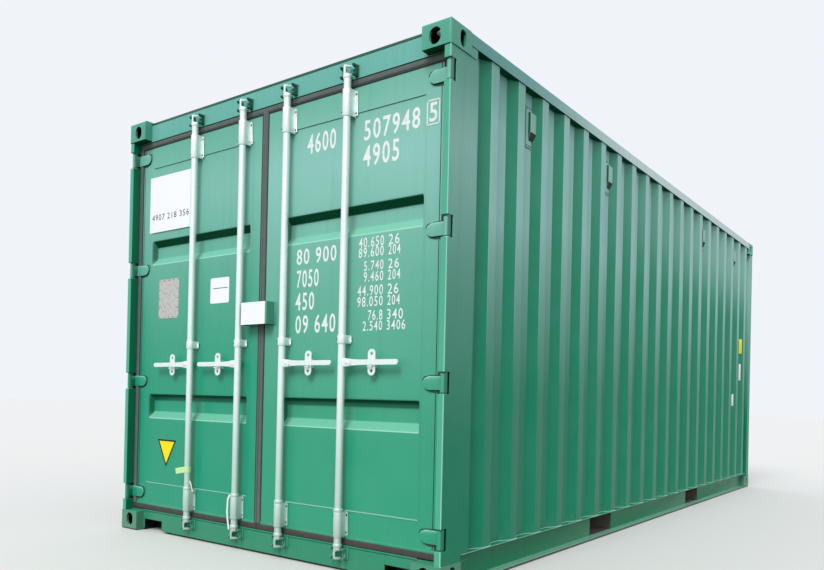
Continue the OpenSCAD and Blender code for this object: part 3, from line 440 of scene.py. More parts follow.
def grid(x, y, z, wrapU=False, wrapV=False):
    # a surface from three arrays of the same two parameters
    points = np.stack(np.broadcast_arrays(x, y, z), -1)
    nu, nv = points.shape[:2]
    i, j = np.meshgrid(np.arange(nu - (not wrapU)), np.arange(nv - (not wrapV)), indexing="ij")
    i2, j2 = (i + 1) % nu, (j + 1) % nv
    quads = np.stack([i * nv + j, i2 * nv + j, i2 * nv + j2, i * nv + j2], -1).reshape(-1, 4)
    return points.reshape(-1, 3), quads.tolist()


def join(*shapes):
    points, faces, start = [], [], 0
    for p, f in shapes:
        points.append(p)
        faces += [[k + start for k in face] for face in f]
        start += len(p)
    return np.concatenate(points), faces


def turned(shape, x=(1, 0, 0), y=(0, 1, 0), z=(0, 0, 1), at=(0, 0, 0)):
    return shape[0] @ np.array([x, y, z], float) + np.array(at, float), shape[1]


def moved(shape, place):
    return shape[0] + np.array(place, float), shape[1]


def copies(shape, places):
    return join(*[moved(shape, place) for place in places])


def mirrored(shape):
    return shape[0] * (-1, 1, 1), [face[::-1] for face in shape[1]]


def handed(shape, hand):
    # shapes are drawn for the right side
    return mirrored(shape) if hand == "left" else shape


doorFace = dict(x=(1, 0, 0), y=(0, 0, 1), z=(0, -1, 0))      # outwards from the doors
sideFace = dict(x=(0, 1, 0), y=(0, 0, 1), z=(1, 0, 0))       # outwards from the right side


def inset(outline, distance):
    # moves a closed counter-clockwise outline inwards along its mitres
    ahead = unit(np.roll(outline, -1, 0) - outline)
    n2 = np.stack([-ahead[:, 1], ahead[:, 0]], 1)
    n1 = np.roll(n2, 1, 0)
    return outline + distance * (n1 + n2) / (1 + (n1 * n2).sum(1, keepdims=True))


def prism(outline, low, high, edge=0.0015, steps=2):
    # stacks the outline from low to high, with a quarter-round at both rims
    t = np.linspace(0, math.pi / 2, steps + 1)
    insets = np.concatenate([edge * (1 - np.sin(t)), edge * (1 - np.sin(t[::-1]))])
    heights = np.concatenate([low + edge * (1 - np.cos(t)), high - edge * (1 - np.cos(t[::-1]))])
    rings = np.stack([np.column_stack([inset(outline, d), np.full(len(outline), h)])
                      for d, h in zip(insets, heights)])
    points, faces = grid(rings[..., 0].T, rings[..., 1].T, rings[..., 2].T, wrapU=True)
    n, k = len(outline), len(insets)
    caps = [[i * k for i in range(n)][::-1], [i * k + k - 1 for i in range(n)]]
    return points, faces + caps


def rectangle(w, h, radius, steps=4, centre=(0, 0)):
    # rounded rectangle, counter-clockwise
    a = np.concatenate([np.linspace(q, q + math.pi / 2, steps + 1) for q in np.arange(4) * math.pi / 2])
    sx, sy = np.repeat([1, -1, -1, 1], steps + 1), np.repeat([1, 1, -1, -1], steps + 1)
    return np.column_stack([centre[0] + sx * (w / 2 - radius) + radius * np.cos(a),
                            centre[1] + sy * (h / 2 - radius) + radius * np.sin(a)])


def block(x, y, z, radius=0.002, edge=0.001):
    # rounded block between limits, standing along z
    shape = prism(rectangle(x[1] - x[0], y[1] - y[0], radius, 2), z[0], z[1], edge)
    return turned(shape, at=((x[0] + x[1]) / 2, (y[0] + y[1]) / 2, 0))


def lathe(profile, n=24):
    # turns (radius, height) pairs round the z axis
    r, h = np.asarray(profile, float).T
    a = np.linspace(0, 2 * math.pi, n, endpoint=False)[:, None]
    return grid(r * np.cos(a), r * np.sin(a), h + 0 * a, wrapU=True)


def pipe(path, radius, n=8, closed=False):
    # carries a circle along a path, turned square to it at each point
    p = np.asarray(path, float)
    along = unit(np.roll(p, -1, 0) - np.roll(p, 1, 0)) if closed else unit(np.gradient(p, axis=0))
    side = unit(np.cross(along, np.where(np.abs(along[:, 2:]) < 0.9, (0, 0, 1), (1, 0, 0))))
    up = np.cross(side, along)
    a = np.linspace(0, 2 * math.pi, n, endpoint=False)
    r = np.broadcast_to(radius, len(p))[:, None, None]
    ring = p[:, None] + r * (side[:, None] * np.cos(a)[:, None] + up[:, None] * np.sin(a)[:, None])
    points, faces = grid(ring[..., 0], ring[..., 1], ring[..., 2], wrapU=closed, wrapV=True)
    faces = [face[::-1] for face in faces]
    if not closed:
        last = (len(p) - 1) * n
        faces += [list(range(n)), list(range(last, last + n))[::-1]]
    return points, faces


def piece(name, shape, body, finish, stands=(), smooth=35, wall=0.0, flip=False):
    mesh = bpy.data.meshes.new(name)
    mesh.from_pydata(shape[0].tolist(), [], shape[1])
    work = bmesh.new()
    work.from_mesh(mesh)
    bmesh.ops.remove_doubles(work, verts=work.verts, dist=2e-6)
    if not wall:
        bmesh.ops.recalc_face_normals(work, faces=work.faces)
    elif flip:
        bmesh.ops.reverse_faces(work, faces=work.faces)
    work.to_mesh(mesh)
    work.free()
    mesh.polygons.foreach_set("use_smooth", np.ones(len(mesh.polygons), bool))
    mesh.set_sharp_from_angle(angle=math.radians(smooth))
    return settle(bpy.data.objects.new(name, mesh), body, finish, stands, wall)


def settle(thing, body, finish, stands, wall=0.0):
    scene.collection.objects.link(thing)
    thing.data.materials.clear()
    thing.data.materials.append(finishes[finish])
    if wall:
        thickness = thing.modifiers.new("sheet", "SOLIDIFY")
        thickness.thickness, thickness.offset = wall, -1
    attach(thing, body)
    if stands:
        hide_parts(*stands)
    return thing


def softEdged(node, name, body, finish, width):
    # a merged copy of a CAD piece with its sharp edges rounded
    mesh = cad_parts[node].data.copy()
    mesh.name = name
    work = bmesh.new()
    work.from_mesh(mesh)
    bmesh.ops.remove_doubles(work, verts=work.verts, dist=1e-5)
    bmesh.ops.dissolve_limit(work, angle_limit=math.radians(1), verts=work.verts, edges=work.edges)
    work.to_mesh(mesh)
    work.free()
    mesh.polygons.foreach_set("use_smooth", np.ones(len(mesh.polygons), bool))
    mesh.set_sharp_from_angle(angle=math.radians(32))
    thing = bpy.data.objects.new(name, mesh)
    edge = thing.modifiers.new("edges", "BEVEL")
    edge.width, edge.segments, edge.limit_method = width, 2, "ANGLE"
    edge.angle_limit, edge.harden_normals = math.radians(32), True
    return settle(thing, body, finish, (node,))


# Frame, doors and small steel: CAD shapes with rounded edges
edged = {
    "frame": [("bottom_castings_door_end", "bottomCastingsDoorEnd", "casting", 0.0020),
              ("bottom_castings_closed_end", "bottomCastingsClosedEnd", "casting", 0.0020),
              ("top_castings_door_end", "topCastingsDoorEnd", "casting", 0.0020),
              ("top_castings_closed_end", "topCastingsClosedEnd", "casting", 0.0020),
              ("door_post_left", "doorPostLeft", "post", 0.0052),
              ("door_post_right", "doorPostRight", "post", 0.0052),
              ("end_posts", "endPosts", "post", 0.0030), ("door_header", "doorHeader", "header", 0.0018),
              ("door_sill", "doorSill", "sill", 0.0030), ("end_top_rail", "endTopRail", "frame", 0.0014),
              ("end_bottom_rail", "endBottomRail", "base", 0.0020),
              ("top_side_rails", "topSideRails", "topRail", 0.0035),
              ("bottom_rail_left", "bottomRailLeft", "base", 0.0022),
              ("bottom_rail_right", "bottomRailRight", "base", 0.0022),
              ("roof_corner_plates", "roofCornerPlates", "frame", 0.0012),
              ("cross_members", "crossMembers", "underside", 0.0015),
              ("fork_pockets", "forkPockets", "underside", 0.0015),
              ("hinge_pins", "hingePins", "frame", 0.0010)],
}
for hand in ("left", "right"):
    cap = hand.capitalize()
    edged["door_" + hand] = [("leaf_frame_" + hand, "leafFrame" + cap, "door" + cap, 0.0026),
                             ("handle_retainers_" + hand, "handleRetainers" + cap, "zinc", 0.0012),
                             ("lock_box_" + hand, "lockBox" + cap, "lowKeeper", 0.0011)]
for number in range(1, 5):
    edged["grip_%d" % number] = [("handle_%d" % number, "handle%d" % number, "zinc", 0.0022)]
for body, parts in edged.items():
    for node, name, finish, width in parts:
        softEdged(node, name, body, finish, width)
print("steel edges rounded")


# Weld beads: a rippled pipe where posts meet castings and where the top rails meet them
bead = dict(side=1.2158, front=-3.0215, inner=1.184, back=-2.800, rail=1.2115, railFrom=2.528,
            railTo=2.580, railY=-2.8500, step=0.0016, radius=0.0020, ripple=0.0005)


def weldBeads():
    paths = []
    side, front, step = bead["side"], bead["front"], bead["step"]
    for z in (hull["castTop"], hull["castFoot"]):
        y = np.arange(front, bead["back"], step)
        x = np.arange(bead["inner"], side, step)
        paths.append(np.vstack([np.column_stack([x, np.full(len(x), front), np.full(len(x), z)]),
                                np.column_stack([np.full(len(y), side), y, np.full(len(y), z)])]))
    z = np.arange(bead["railFrom"], bead["railTo"], step)
    paths.append(np.column_stack([np.full(len(z), bead["rail"]), np.full(len(z), bead["railY"]), z]))
    shape = join(*[pipe(path, bead["radius"] + bead["ripple"] * np.sin(np.arange(len(path)) * 2.1), 6)
                   for path in paths])
    piece("weldBeads", join(shape, mirrored(shape)), "frame", "post", smooth=60)


weldBeads()


# Side wall: recess, slope, ridge, slope, repeated; bends are rounded and the flats bow a little
wall = dict(recessX=1.175, ridgeX=1.211, bays=21, slope=0.068, ridge=0.072, bend=0.016, sheet=0.002,
            bow=0.0007, run=hull["endFrontY"] - hull["postBackY"])
wall["flat"] = (wall["run"] - (wall["bays"] - 1) * (2 * wall["slope"] + wall["ridge"])) / wall["bays"]
wallFoot = dict(radius=0.0034, out=0.0008, up=0.0016, ledgeX=(1.2150, 1.2186), ledgeUp=(-0.0006, 0.0012))


def corrugationPath(start, run, bays, slope, ridge, low, high):
    flat = (run - (bays - 1) * (2 * slope + ridge)) / bays
    starts = start + flat + np.arange(bays - 1)[:, None] * (flat + 2 * slope + ridge)
    along = starts + np.array([0, slope, slope + ridge, 2 * slope + ridge])
    out = np.broadcast_to([low, high, high, low], along.shape)
    inner = np.column_stack([along.ravel(), out.ravel()])
    return np.vstack([[start, low], inner, [start + run, low]]), flat


def bowing(u, v, seed):
    # a few slow waves that fade out at the sheet's top and bottom
    rng = np.random.default_rng(seed)
    total = np.zeros(np.broadcast(u, v).shape)
    for _ in range(7):
        fu, fv = rng.uniform(0.6, 6.0), rng.uniform(0.5, 3.0)
        pu, pv = rng.uniform(0, 6.3), rng.uniform(0, 6.3)
        total += np.sin(fu * u + pu) * np.sin(fv * v + pv) / 7
    return total


def sideWall(hand, seed):
    path, flat = corrugationPath(hull["postBackY"], wall["run"], wall["bays"], wall["slope"],
                                 wall["ridge"], wall["recessX"], wall["ridgeX"])
    path = roundedPath(path, wall["bend"], 5)
    stepY = hull["endFrontY"] - flat
    split = np.searchsorted(path[:, 0], stepY + 0.02)
    extra = np.array([[stepY + 0.02, wall["recessX"]], [stepY + 0.0201, wall["recessX"]]])
    path = np.vstack([path[:split], extra, path[split:]])
    y, x = path[:, 0][:, None], path[:, 1][:, None]
    t = np.sort(np.concatenate([np.linspace(0, 1, 25), [0.0006, 0.9994]]))[None, :]
    pastCast = y > stepY + 0.02005
    low = np.where(pastCast, hull["castTop"], hull["baseZ"])
    high = np.where(pastCast, hull["castFoot"], hull["railLow"])
    z = low + (high - low) * t
    x = x + wall["bow"] * bowing(y * 2, z * 2, seed) * np.sin(math.pi * t)
    cap = hand.capitalize()
    piece("sideWall" + cap, handed(grid(x, y, z), hand), "frame", "wall", ("side_wall_" + hand,), 40,
          wall["sheet"])
    foot = np.column_stack([path[:, 1] + wallFoot["out"], path[:, 0],
                            np.full(len(path), hull["baseZ"] + wallFoot["up"])])
    foot = pipe(foot[path[:, 0] < stepY], wallFoot["radius"], 6)
    ledge = block(wallFoot["ledgeX"], (-hull["castInY"] + 0.001, hull["castInY"] - 0.001),
                  tuple(hull["baseZ"] + up for up in wallFoot["ledgeUp"]), 0.0006, 0.0005)
    piece("wallFoot" + cap, handed(join(foot, ledge), hand), "frame", "weld")


sideWall("right", 5)
sideWall("left", 6)


endWall = dict(recessY=2.976, ridgeY=3.021, bays=8, slope=0.018, ridge=0.110, bend=0.010)


def closedEnd():
    path, _ = corrugationPath(-hull["castInX"], 2 * hull["castInX"], endWall["bays"], endWall["slope"],
                              endWall["ridge"], endWall["recessY"], endWall["ridgeY"])
    path = roundedPath(path, endWall["bend"], 5)
    x, y = path[:, 0][:, None], path[:, 1][:, None]
    z = np.linspace(hull["baseZ"], hull["railLow"], 25)
    z = np.sort(np.concatenate([z, [z[0] + 0.0015, z[-1] - 0.0015]]))[None, :]
    y = y + wall["bow"] * bowing(x * 2, z * 2, 9) * np.sin(math.pi * (z - z.min()) / np.ptp(z))
    piece("endWallSheet", grid(x, y, z), "frame", "wall", ("end_wall",), 40, wall["sheet"], flip=True)


closedEnd()
print("walls bent")


# Roof: flat sheet with pans pressed down, each a smooth step across and along
roof = dict(top=2.585, halfX=1.197, panHalfX=1.087, pans=26, pitch=0.196231, halfTop=0.060, slope=0.010,
            depth=0.020, endRun=0.014, sheet=0.002)


def smoothStep(t):
    t = np.clip(t, 0, 1)
    return t * t * (3 - 2 * t)


def roofSheet():
    edges = np.array([-0.064, -0.060, -0.057, -0.054, -0.051, -0.048])
    perPan = np.concatenate([edges, [0], -edges[::-1]])
    centres = (np.arange(roof["pans"]) - (roof["pans"] - 1) / 2) * roof["pitch"]
    y = np.concatenate([[-hull["castInY"]], (centres[:, None] + perPan).ravel(), [hull["castInY"]]])
    ends = roof["panHalfX"] - np.array([0.018, 0.014, 0.010, 0.006, 0.002, -0.004])
    x = np.concatenate([[-roof["halfX"]], -ends[::-1], np.linspace(-0.8, 0.8, 9), ends, [roof["halfX"]]])
    x, y = x[:, None], y[None, :]
    fromCentre = np.abs(y - np.clip(np.round(y / roof["pitch"] - 0.5) + 0.5, -12.5, 12.5) * roof["pitch"])
    across = smoothStep((roof["halfTop"] - fromCentre) / roof["slope"])
    along = smoothStep((roof["panHalfX"] - np.abs(x)) / roof["endRun"])
    z = roof["top"] - roof["depth"] * across * along
    strips = []
    for y0, y1 in ((-2.957, -hull["castInY"]), (hull["castInY"], 3.007)):
        strips.append(grid(np.linspace(-hull["castInX"], hull["castInX"], 5)[:, None],
                           np.array([[y0, y1]]), roof["top"] + np.zeros((5, 2))))
    piece("roofSheet", join(grid(x, y, z), *strips), "frame", "frame", ("roof_sheet",), 40, roof["sheet"])


roofSheet()


# Leaf panels: flat sheet with two troughs of straight slopes and small bends; at the sides the
# sheet runs out flush with the stiles, and bowing is y = bow * sum of slow waves, still at the rim
panel = dict(troughs=(0.788, 1.759), half=0.075, slope=0.040, depth=0.036, endIn=0.020, endOut=0.006,
             endRun=0.012, bend=0.016, sheet=0.002, bow=0.0008, flush=0.0044, flushRun=0.012, lap=0.004)


def troughDepth(z):
    # share of the full depth at height z: roundedPath of the pressed section, then read off
    section = [[leaf["panelZ0"] - 0.1, 0]]
    for c in panel["troughs"]:
        half, inner = panel["half"], panel["half"] - panel["slope"]
        section += [[c - half, 0], [c - inner, 1], [c + inner, 1], [c + half, 0]]
    section = np.array(section + [[leaf["panelZ1"] + 0.1, 0]])
    section[:, 1] *= panel["depth"]
    bent = roundedPath(section, panel["bend"], 7)
    return np.interp(z, bent[:, 0], bent[:, 1]), bent[:, 0]


def leafSkin(hand, x, z):
    # front of the sheet for x counted outwards from the middle of the door opening
    left, right = leaf["panelX0"] + panel["endIn"], leaf["panelX1"] - panel["endOut"]
    fromEnd = np.minimum(x - left, right - x) / panel["endRun"]
    fromRim = np.minimum(x - leaf["panelX0"], leaf["panelX1"] - x)
    y = leaf["panel"] + troughDepth(z)[0] * smoothStep(fromEnd)
    y = y - panel["flush"] * np.clip(1 - fromRim / panel["flushRun"], 0, 1)
    rim = np.clip(np.minimum(fromRim, leaf["panelZ1"] - z) / 0.15, 0, 1)
    return y + panel["bow"] * bowing(x * 3, z * 2.5, 11 if hand == "left" else 12) * rim


def leafPanel(hand):
    bends = troughDepth(0)[1][1:-1]
    z = np.linspace(leaf["panelZ0"], leaf["panelZ1"], 48)
    z = np.sort(np.concatenate([z, [z[0] + 0.0015, z[-1] - 0.0015], bends]))
    left, right = leaf["panelX0"] - panel["lap"], leaf["panelX1"] + panel["lap"]
    run = np.linspace(-0.001, panel["endRun"] + 0.001, 7)
    x = np.sort(np.concatenate([[left, left + 0.0015, leaf["panelX0"] + panel["flushRun"]],
                                leaf["panelX0"] + panel["endIn"] + run,
                                np.linspace(left + 0.06, right - 0.06, 16),
                                leaf["panelX1"] - panel["endOut"] - run,
                                [right - 0.0035, right - 0.0015, right]]))
    x, z = x[:, None], z[None, :]
    shape = grid(x, leafSkin(hand, x, z), z)
    piece("leafPanel" + hand.capitalize(), handed(shape, hand), "door_" + hand, "door" + hand.capitalize(),
          ("leaf_panel_" + hand,), 40, panel["sheet"])


# Weld bead under the panel, its face leaning back a little
footWeld = dict(below=0.004, ahead=0.0024, tall=0.0070, lean=0.0007, deep=0.0034)


def panelFoot(hand):
    low, front = leaf["panelZ0"] - footWeld["below"], leaf["face"] - footWeld["ahead"]
    back, high = front + footWeld["deep"], low + footWeld["tall"]
    section = np.array([(front, low), (front + footWeld["lean"], high), (back, high), (back, low)])
    bead = prism(section[::-1], leaf["panelX0"], leaf["panelX1"], 0.0003)
    bead = turned(bead, x=(0, 1, 0), y=(0, 0, 1), z=(1, 0, 0))
    piece("panelFoot" + hand.capitalize(), handed(bead, hand), "door_" + hand,
          "door" + hand.capitalize(), smooth=20)


for hand in ("left", "right"):
    leafPanel(hand)
    panelFoot(hand)
print("roof and door panels pressed")


# Door seal: one lip section carried round the leaf; share is the part of the gap that it crosses
seal = dict(jamb=0.0275, seam=0.0222, low=0.0345, high=0.0320,
            profile=[(0.0, 0.0010), (0.05, 0.0000), (0.14, -0.0012), (0.22, -0.0040), (0.34, -0.0064),
                     (0.52, -0.0078), (0.74, -0.0082), (0.93, -0.0078), (1.0, -0.0066), (1.0, 0.0000),
                     (0.97, 0.0062), (0.70, 0.0064), (0.40, 0.0072), (0.32, 0.0100), (0.32, 0.0330),
                     (0.40, 0.0352), (0.70, 0.0352), (0.96, 0.0340), (1.0, 0.0360), (0.97, 0.0395),
                     (0.84, 0.0414), (0.40, 0.0420), (0.0, 0.0420)],
            binding=[(-0.0060, -0.0003), (-0.0052, -0.0012), (-0.0010, -0.0018), (0.0022, -0.0016),
                     (0.0022, 0.0010)])


def doorSeal(hand):
    share, depth = np.array(seal["profile"]).T
    x0, x1 = leaf["x0"][hand] - share * seal["seam"], leaf["x1"] + share * seal["jamb"]
    z0, z1 = leaf["z0"] - share * seal["low"], leaf["z1"] + share * seal["high"]
    x = np.stack([x0, x1, x1, x0], 1)
    z = np.stack([z0, z0, z1, z1], 1)
    shape = grid(x, leaf["face"] + depth[:, None] + 0 * x, z, wrapU=True, wrapV=True)
    cap = hand.capitalize()
    piece("doorSeal" + cap, handed(shape, hand), "door_" + hand, "rubber", ("leaf_seal_" + hand,), 30)
    out, depth = np.array(seal["binding"]).T
    x0, x1, z0, z1 = leaf["x0"][hand] - out * 0.7, leaf["x1"] + out, leaf["z0"] - out, leaf["z1"] + out
    x = np.stack([x0, x1, x1, x0], 1)
    shape = grid(x, leaf["face"] + depth[:, None] + 0 * x, np.stack([z0, z0, z1, z1], 1), wrapV=True)
    piece("sealBinding" + cap, handed(shape, hand), "door_" + hand, "darkRubber", wall=0.0006,
          flip=hand == "right")


# Lip along the foot of the leaf over the top of the lower seal, and a lip on the sill
lips = dict(leafZ=(0.1598, 0.1730), leafOut=0.0025, sillZ=(0.120, 0.1295), sillDeep=0.006)


def leafFoot(hand):
    x = (leaf["x0"][hand] + 0.001, leaf["x1"] - 0.001)
    y = (leaf["face"] - lips["leafOut"], leaf["face"] + 0.002)
    shape = block(x, y, lips["leafZ"], 0.0016, 0.0012)
    piece("leafFoot" + hand.capitalize(), handed(shape, hand), "door_" + hand, "frame")


# Hinge blades: knuckle, leg back to the leaf and a tongue with a half-round end, a dark weld round
# it and a dark line along its top, both painted dark as contact shade, a painted shadow wedge below
# it, a dark line of painted shade down the leaf's edge and washers above and below the knuckle
hinge = dict(z=(0.236, 0.9447, 1.6533, 2.362), pin=(1.199, -3.000), radius=0.016, bore=0.0078,
             halfKnuckle=0.045, end=1.067, half=0.033, round=0.036, thick=0.010, edge=1.131,
             line=0.0040, washer=(0.0006, 0.0044), weld=0.0020, topWeld=0.0024)


def hingeBlades(hand):
    px, py = hinge["pin"]
    half, end, inner = hinge["half"], hinge["end"], px - 0.006
    rim, face = leaf["x1"] - 0.001, leaf["face"]
    a = np.linspace(math.pi / 2, 3 * math.pi / 2, 17)
    arc = np.column_stack([end + hinge["round"] * (1 + np.cos(a)), half * np.sin(a)])
    outline = np.vstack([[inner, -half], [inner, half], arc])
    tongue = turned(prism(outline, 0, hinge["thick"], 0.0030, 4), **doorFace, at=(0, face, 0))
    leg = block((px - hinge["radius"], inner), (py, face - 0.002), (-half, half), 0.002, 0.0012)
    r, h, bore = hinge["radius"], hinge["halfKnuckle"], hinge["bore"]
    knuckle = lathe([(0.0076, -h), (r - 0.002, -h), (r, -h + 0.002), (r, h - 0.002), (r - 0.002, h),
                     (0.0076, h), (0.0076, -h)], 28)
    heights = [(0, 0, z) for z in hinge["z"]]
    blades = copies(join(tongue, leg, moved(knuckle, (px, py, 0))), heights)
    # painted shade: dark weld lines round and along the top of the tongue, and a dark wedge below it for its
    # shadow
    weld = np.column_stack([arc[:, 0] - 0.0010, np.full(17, face - 0.0004), 1.03 * arc[:, 1]])
    weld = np.vstack([[leaf["x1"], weld[0, 1], weld[0, 2]], weld, [leaf["x1"], weld[0, 1], weld[-1, 2]]])
    shadowWedge = np.array([(1.078, -half), (1.112, -half - 0.011), (rim, -half - 0.013), (rim, -half)])
    shadowWedge = turned(prism(shadowWedge, 0, 0.0012, 0.0004), **doorFace, at=(0, face, 0))
    top = [(1.059, 0.012), (1.066, 0.030), (1.100, 0.035), (rim, 0.038)]
    top = roundedPath([(x, face - 0.0004, z) for x, z in top], 0.02, 6)
    weldsAndShade = join(pipe(weld, hinge["weld"], 6), pipe(top, hinge["topWeld"], 6), shadowWedge)
    # painted shade: a dark line down the leaf's edge for the shaded gap there
    line = block((hinge["edge"], hinge["edge"] + hinge["line"]), (face - 0.0007, face + 0.001),
                 (leaf["z0"] + 0.010, leaf["z1"] - 0.004), 0.0006, 0.0003)
    low, high = (h + step for step in hinge["washer"])
    washer = lathe([(bore, low), (r - 0.001, low), (r - 0.001, high), (bore, high), (bore, low)], 24)
    washer = join(washer, (washer[0] * (1, 1, -1), washer[1]))
    cap = hand.capitalize()
    piece("hingeBlades" + cap, handed(blades, hand), "door_" + hand, "door" + cap,
          ("hinge_blades_" + hand,), 30)
    piece("hingeWeldsAndShade" + cap, handed(copies(weldsAndShade, heights), hand), "door_" + hand, "keeper")
    piece("leafEdgeShade" + cap, handed(line, hand), "door_" + hand, "hollow")
    washers = copies(moved(washer, (px, py, 0)), heights)
    piece("hingeWashers" + cap, handed(washers, hand), "frame", "post")


for hand in ("left", "right"):
    hingeBlades(hand)
    doorSeal(hand)
    leafFoot(hand)
sillLip = block((-1.056, 1.056), (sill["face"], sill["face"] + lips["sillDeep"]), lips["sillZ"], 0.0015,
                0.0012)
piece("sillLip", sillLip, "frame", "sill")
print("seals fitted")


# Floor: plywood sheets with a groove between them, steel strip in the middle, sunk screws
boards = dict(low=0.139, high=0.167, y0=-2.900, y1=2.972, halfX=1.172, sheets=5, gap=0.003,
              strip=0.045, firstX=1.094, lastX=1.165, infillY=-2.784, screwRows=0.3)


def plywoodFloor():
    shapes = []
    cuts = np.linspace(boards["y0"], boards["y1"], boards["sheets"] + 1)
    outer = [boards["firstX"]] + [boards["halfX"]] * (boards["sheets"] - 2) + [boards["lastX"]]
    z = (boards["low"], boards["high"])
    for i in range(boards["sheets"]):
        y = (cuts[i] + boards["gap"] / 2, cuts[i + 1] - boards["gap"] / 2)
        for side in (-1, 1):
            x = sorted((side * boards["strip"], side * outer[i]))
            shapes.append(block(x, y, z, 0.002, 0.0012))
    piece("floorBoards", join(*shapes), "frame", "wood", ("floor_boards",))
    infill = [block(sorted((side * (boards["firstX"] + 0.002), side * boards["lastX"])),
                    (boards["infillY"], cuts[1] - 0.002), z, 0.002, 0.001) for side in (-1, 1)]
    piece("floorEdgeBoards", join(*infill), "frame", "wood")
    strip = block((-boards["strip"] + 0.002, boards["strip"] - 0.002), (boards["y0"], boards["y1"]),
                  (0.155, 0.1672), 0.002, 0.0008)
    piece("floorCentreStrip", strip, "frame", "underside")
    screw = lathe([(0, 0.1668), (0.0050, 0.1671), (0.0060, 0.1664), (0.0060, 0.160), (0, 0.160)], 10)
    rows = [(x, y, 0) for y in np.arange(-2.7, 2.8, boards["screwRows"])
            for x in np.linspace(-1.05, 1.05, 8)]
    piece("floorScrews", copies(screw, rows), "frame", "zinc")


plywoodFloor()


# Loops and nuts for the locking gear
def smoothLoop(points, radius, steps=4):
    # closed outline with every corner bent like roundedPath
    p = np.asarray(points, float)
    middle = (p[-1] + p[0]) / 2
    return roundedPath(np.vstack([middle, p, middle]), radius, steps)[:-1]


def strip(path, thickness):
    # closed outline of a bent sheet: the path and the same path moved to its left
    p = np.asarray(path, float)
    ahead = unit(np.diff(p, axis=0))
    left = np.stack([-ahead[:, 1], ahead[:, 0]], 1)
    n1, n2 = np.vstack([left[:1], left]), np.vstack([left, left[-1:]])
    moved = p + thickness * (n1 + n2) / (1 + (n1 * n2).sum(1, keepdims=True))
    return np.vstack([p, moved[::-1]])[::-1]


def disc(radius, n):
    a = np.linspace(0, 2 * math.pi, n, endpoint=False)
    return np.column_stack([radius * np.cos(a), radius * np.sin(a)])


def nut(radius, height):
    # washer, hexagon and a rounded bolt end, standing along z
    hexagon = prism(disc(radius, 6), 0.0012, height, 0.0008)
    washer = lathe([(0, 0), (radius * 1.35, 0), (radius * 1.4, 0.0006), (radius * 1.3, 0.0014),
                    (0, 0.0014)], 14)
    end = lathe([(0, height * 1.45), (radius * 0.38, height * 1.4), (radius * 0.5, height * 1.2),
                 (radius * 0.5, height * 0.8), (0, height * 0.8)], 10)
    return join(hexagon, washer, end)


# Painted shade: a dark strip along the header's upper edge, for the shade beneath the roof's edge
roofEdgeShade = block((-1.056, 1.056), (header["face"] - 0.0016, header["face"] + 0.001), (2.5700, header["top"]),
             0.0006, 0.0005)
piece("headerTopShade", roofEdgeShade, "frame", "keeper")


# Keepers: a foot plate on header or sill, two cheeks with a prong above and below, and a lug on each
keeper = dict(foot=(0.0295, 0.0525, 0.005), tall=0.062, cheek=(0.0355, 0.0445), reach=0.038, throat=0.017,
              prong=0.012, lug=(0.0285, 0.006, 0.024), topZ=2.502, lowZ=0.090)


def keeperShape():
    half = keeper["tall"] / 2
    near, far, thick = keeper["foot"]
    foot = prism(rectangle(far - near, 2 * half, 0.005, centre=((near + far) / 2, 0)), 0, thick, 0.001)
    foot = turned(foot, **doorFace)
    reach, throat, prong = keeper["reach"], keeper["throat"], keeper["prong"]
    side = smoothLoop([(0.003, -half), (reach, -half), (reach, -half + prong),
                       (throat, -half + 1.5 * prong), (throat, half - 1.5 * prong),
                       (reach, half - prong), (reach, half), (0.003, half)], 0.005, 3)
    a, b = keeper["cheek"]
    cheek = turned(prism(side, a, b, 0.0012), x=(0, -1, 0), y=(0, 0, 1), z=(-1, 0, 0))
    inner, rise, out = keeper["lug"]
    lug = turned(block((-out, -0.004), (inner, a + 0.001), (-rise, rise), 0.003, 0.001),
                 x=(0, 1, 0), y=(-1, 0, 0), z=(0, 0, 1))
    one = join(foot, lug, mirrored(cheek))
    return join(one, mirrored(one))


keeperRow = copies(keeperShape(), [(x, sill["face"], 0) for x in barPlace["xs"].values()])
piece("sillKeepers", copies(keeperRow, [(0, 0, keeper["lowZ"])]), "frame", "lowKeeper", ("cam_keepers",))
# painted shade: the header keepers in the shaded copy of the keepers' paint
piece("headerKeepers", copies(keeperRow, [(0, 0, keeper["topZ"])]), "frame", "keeper")


# Locking bars: tube, collars, a forged C at each end whose gap takes the keeper's lugs, and a hub
# fork; the ends swell over the C by swell * smoothStep
bar = dict(low=0.110, high=2.482, swell=0.0018, swellRun=0.050,
           collars=((0.130, 0.0235), (0.306, 0.0249), (2.474, 0.0235)), collarHalf=0.009,
           front=-0.0215, back=0.0240, halfWidth=0.0085, tall=0.052, arm=0.0090, lowArm=0.0100,
           lowBack=0.0165, spine=0.0090, turn=30, topC=2.506, lowC=0.087, pivot=0.040, forkEnd=0.061,
           fork=(0.0046, 0.0096), forkH=0.044)


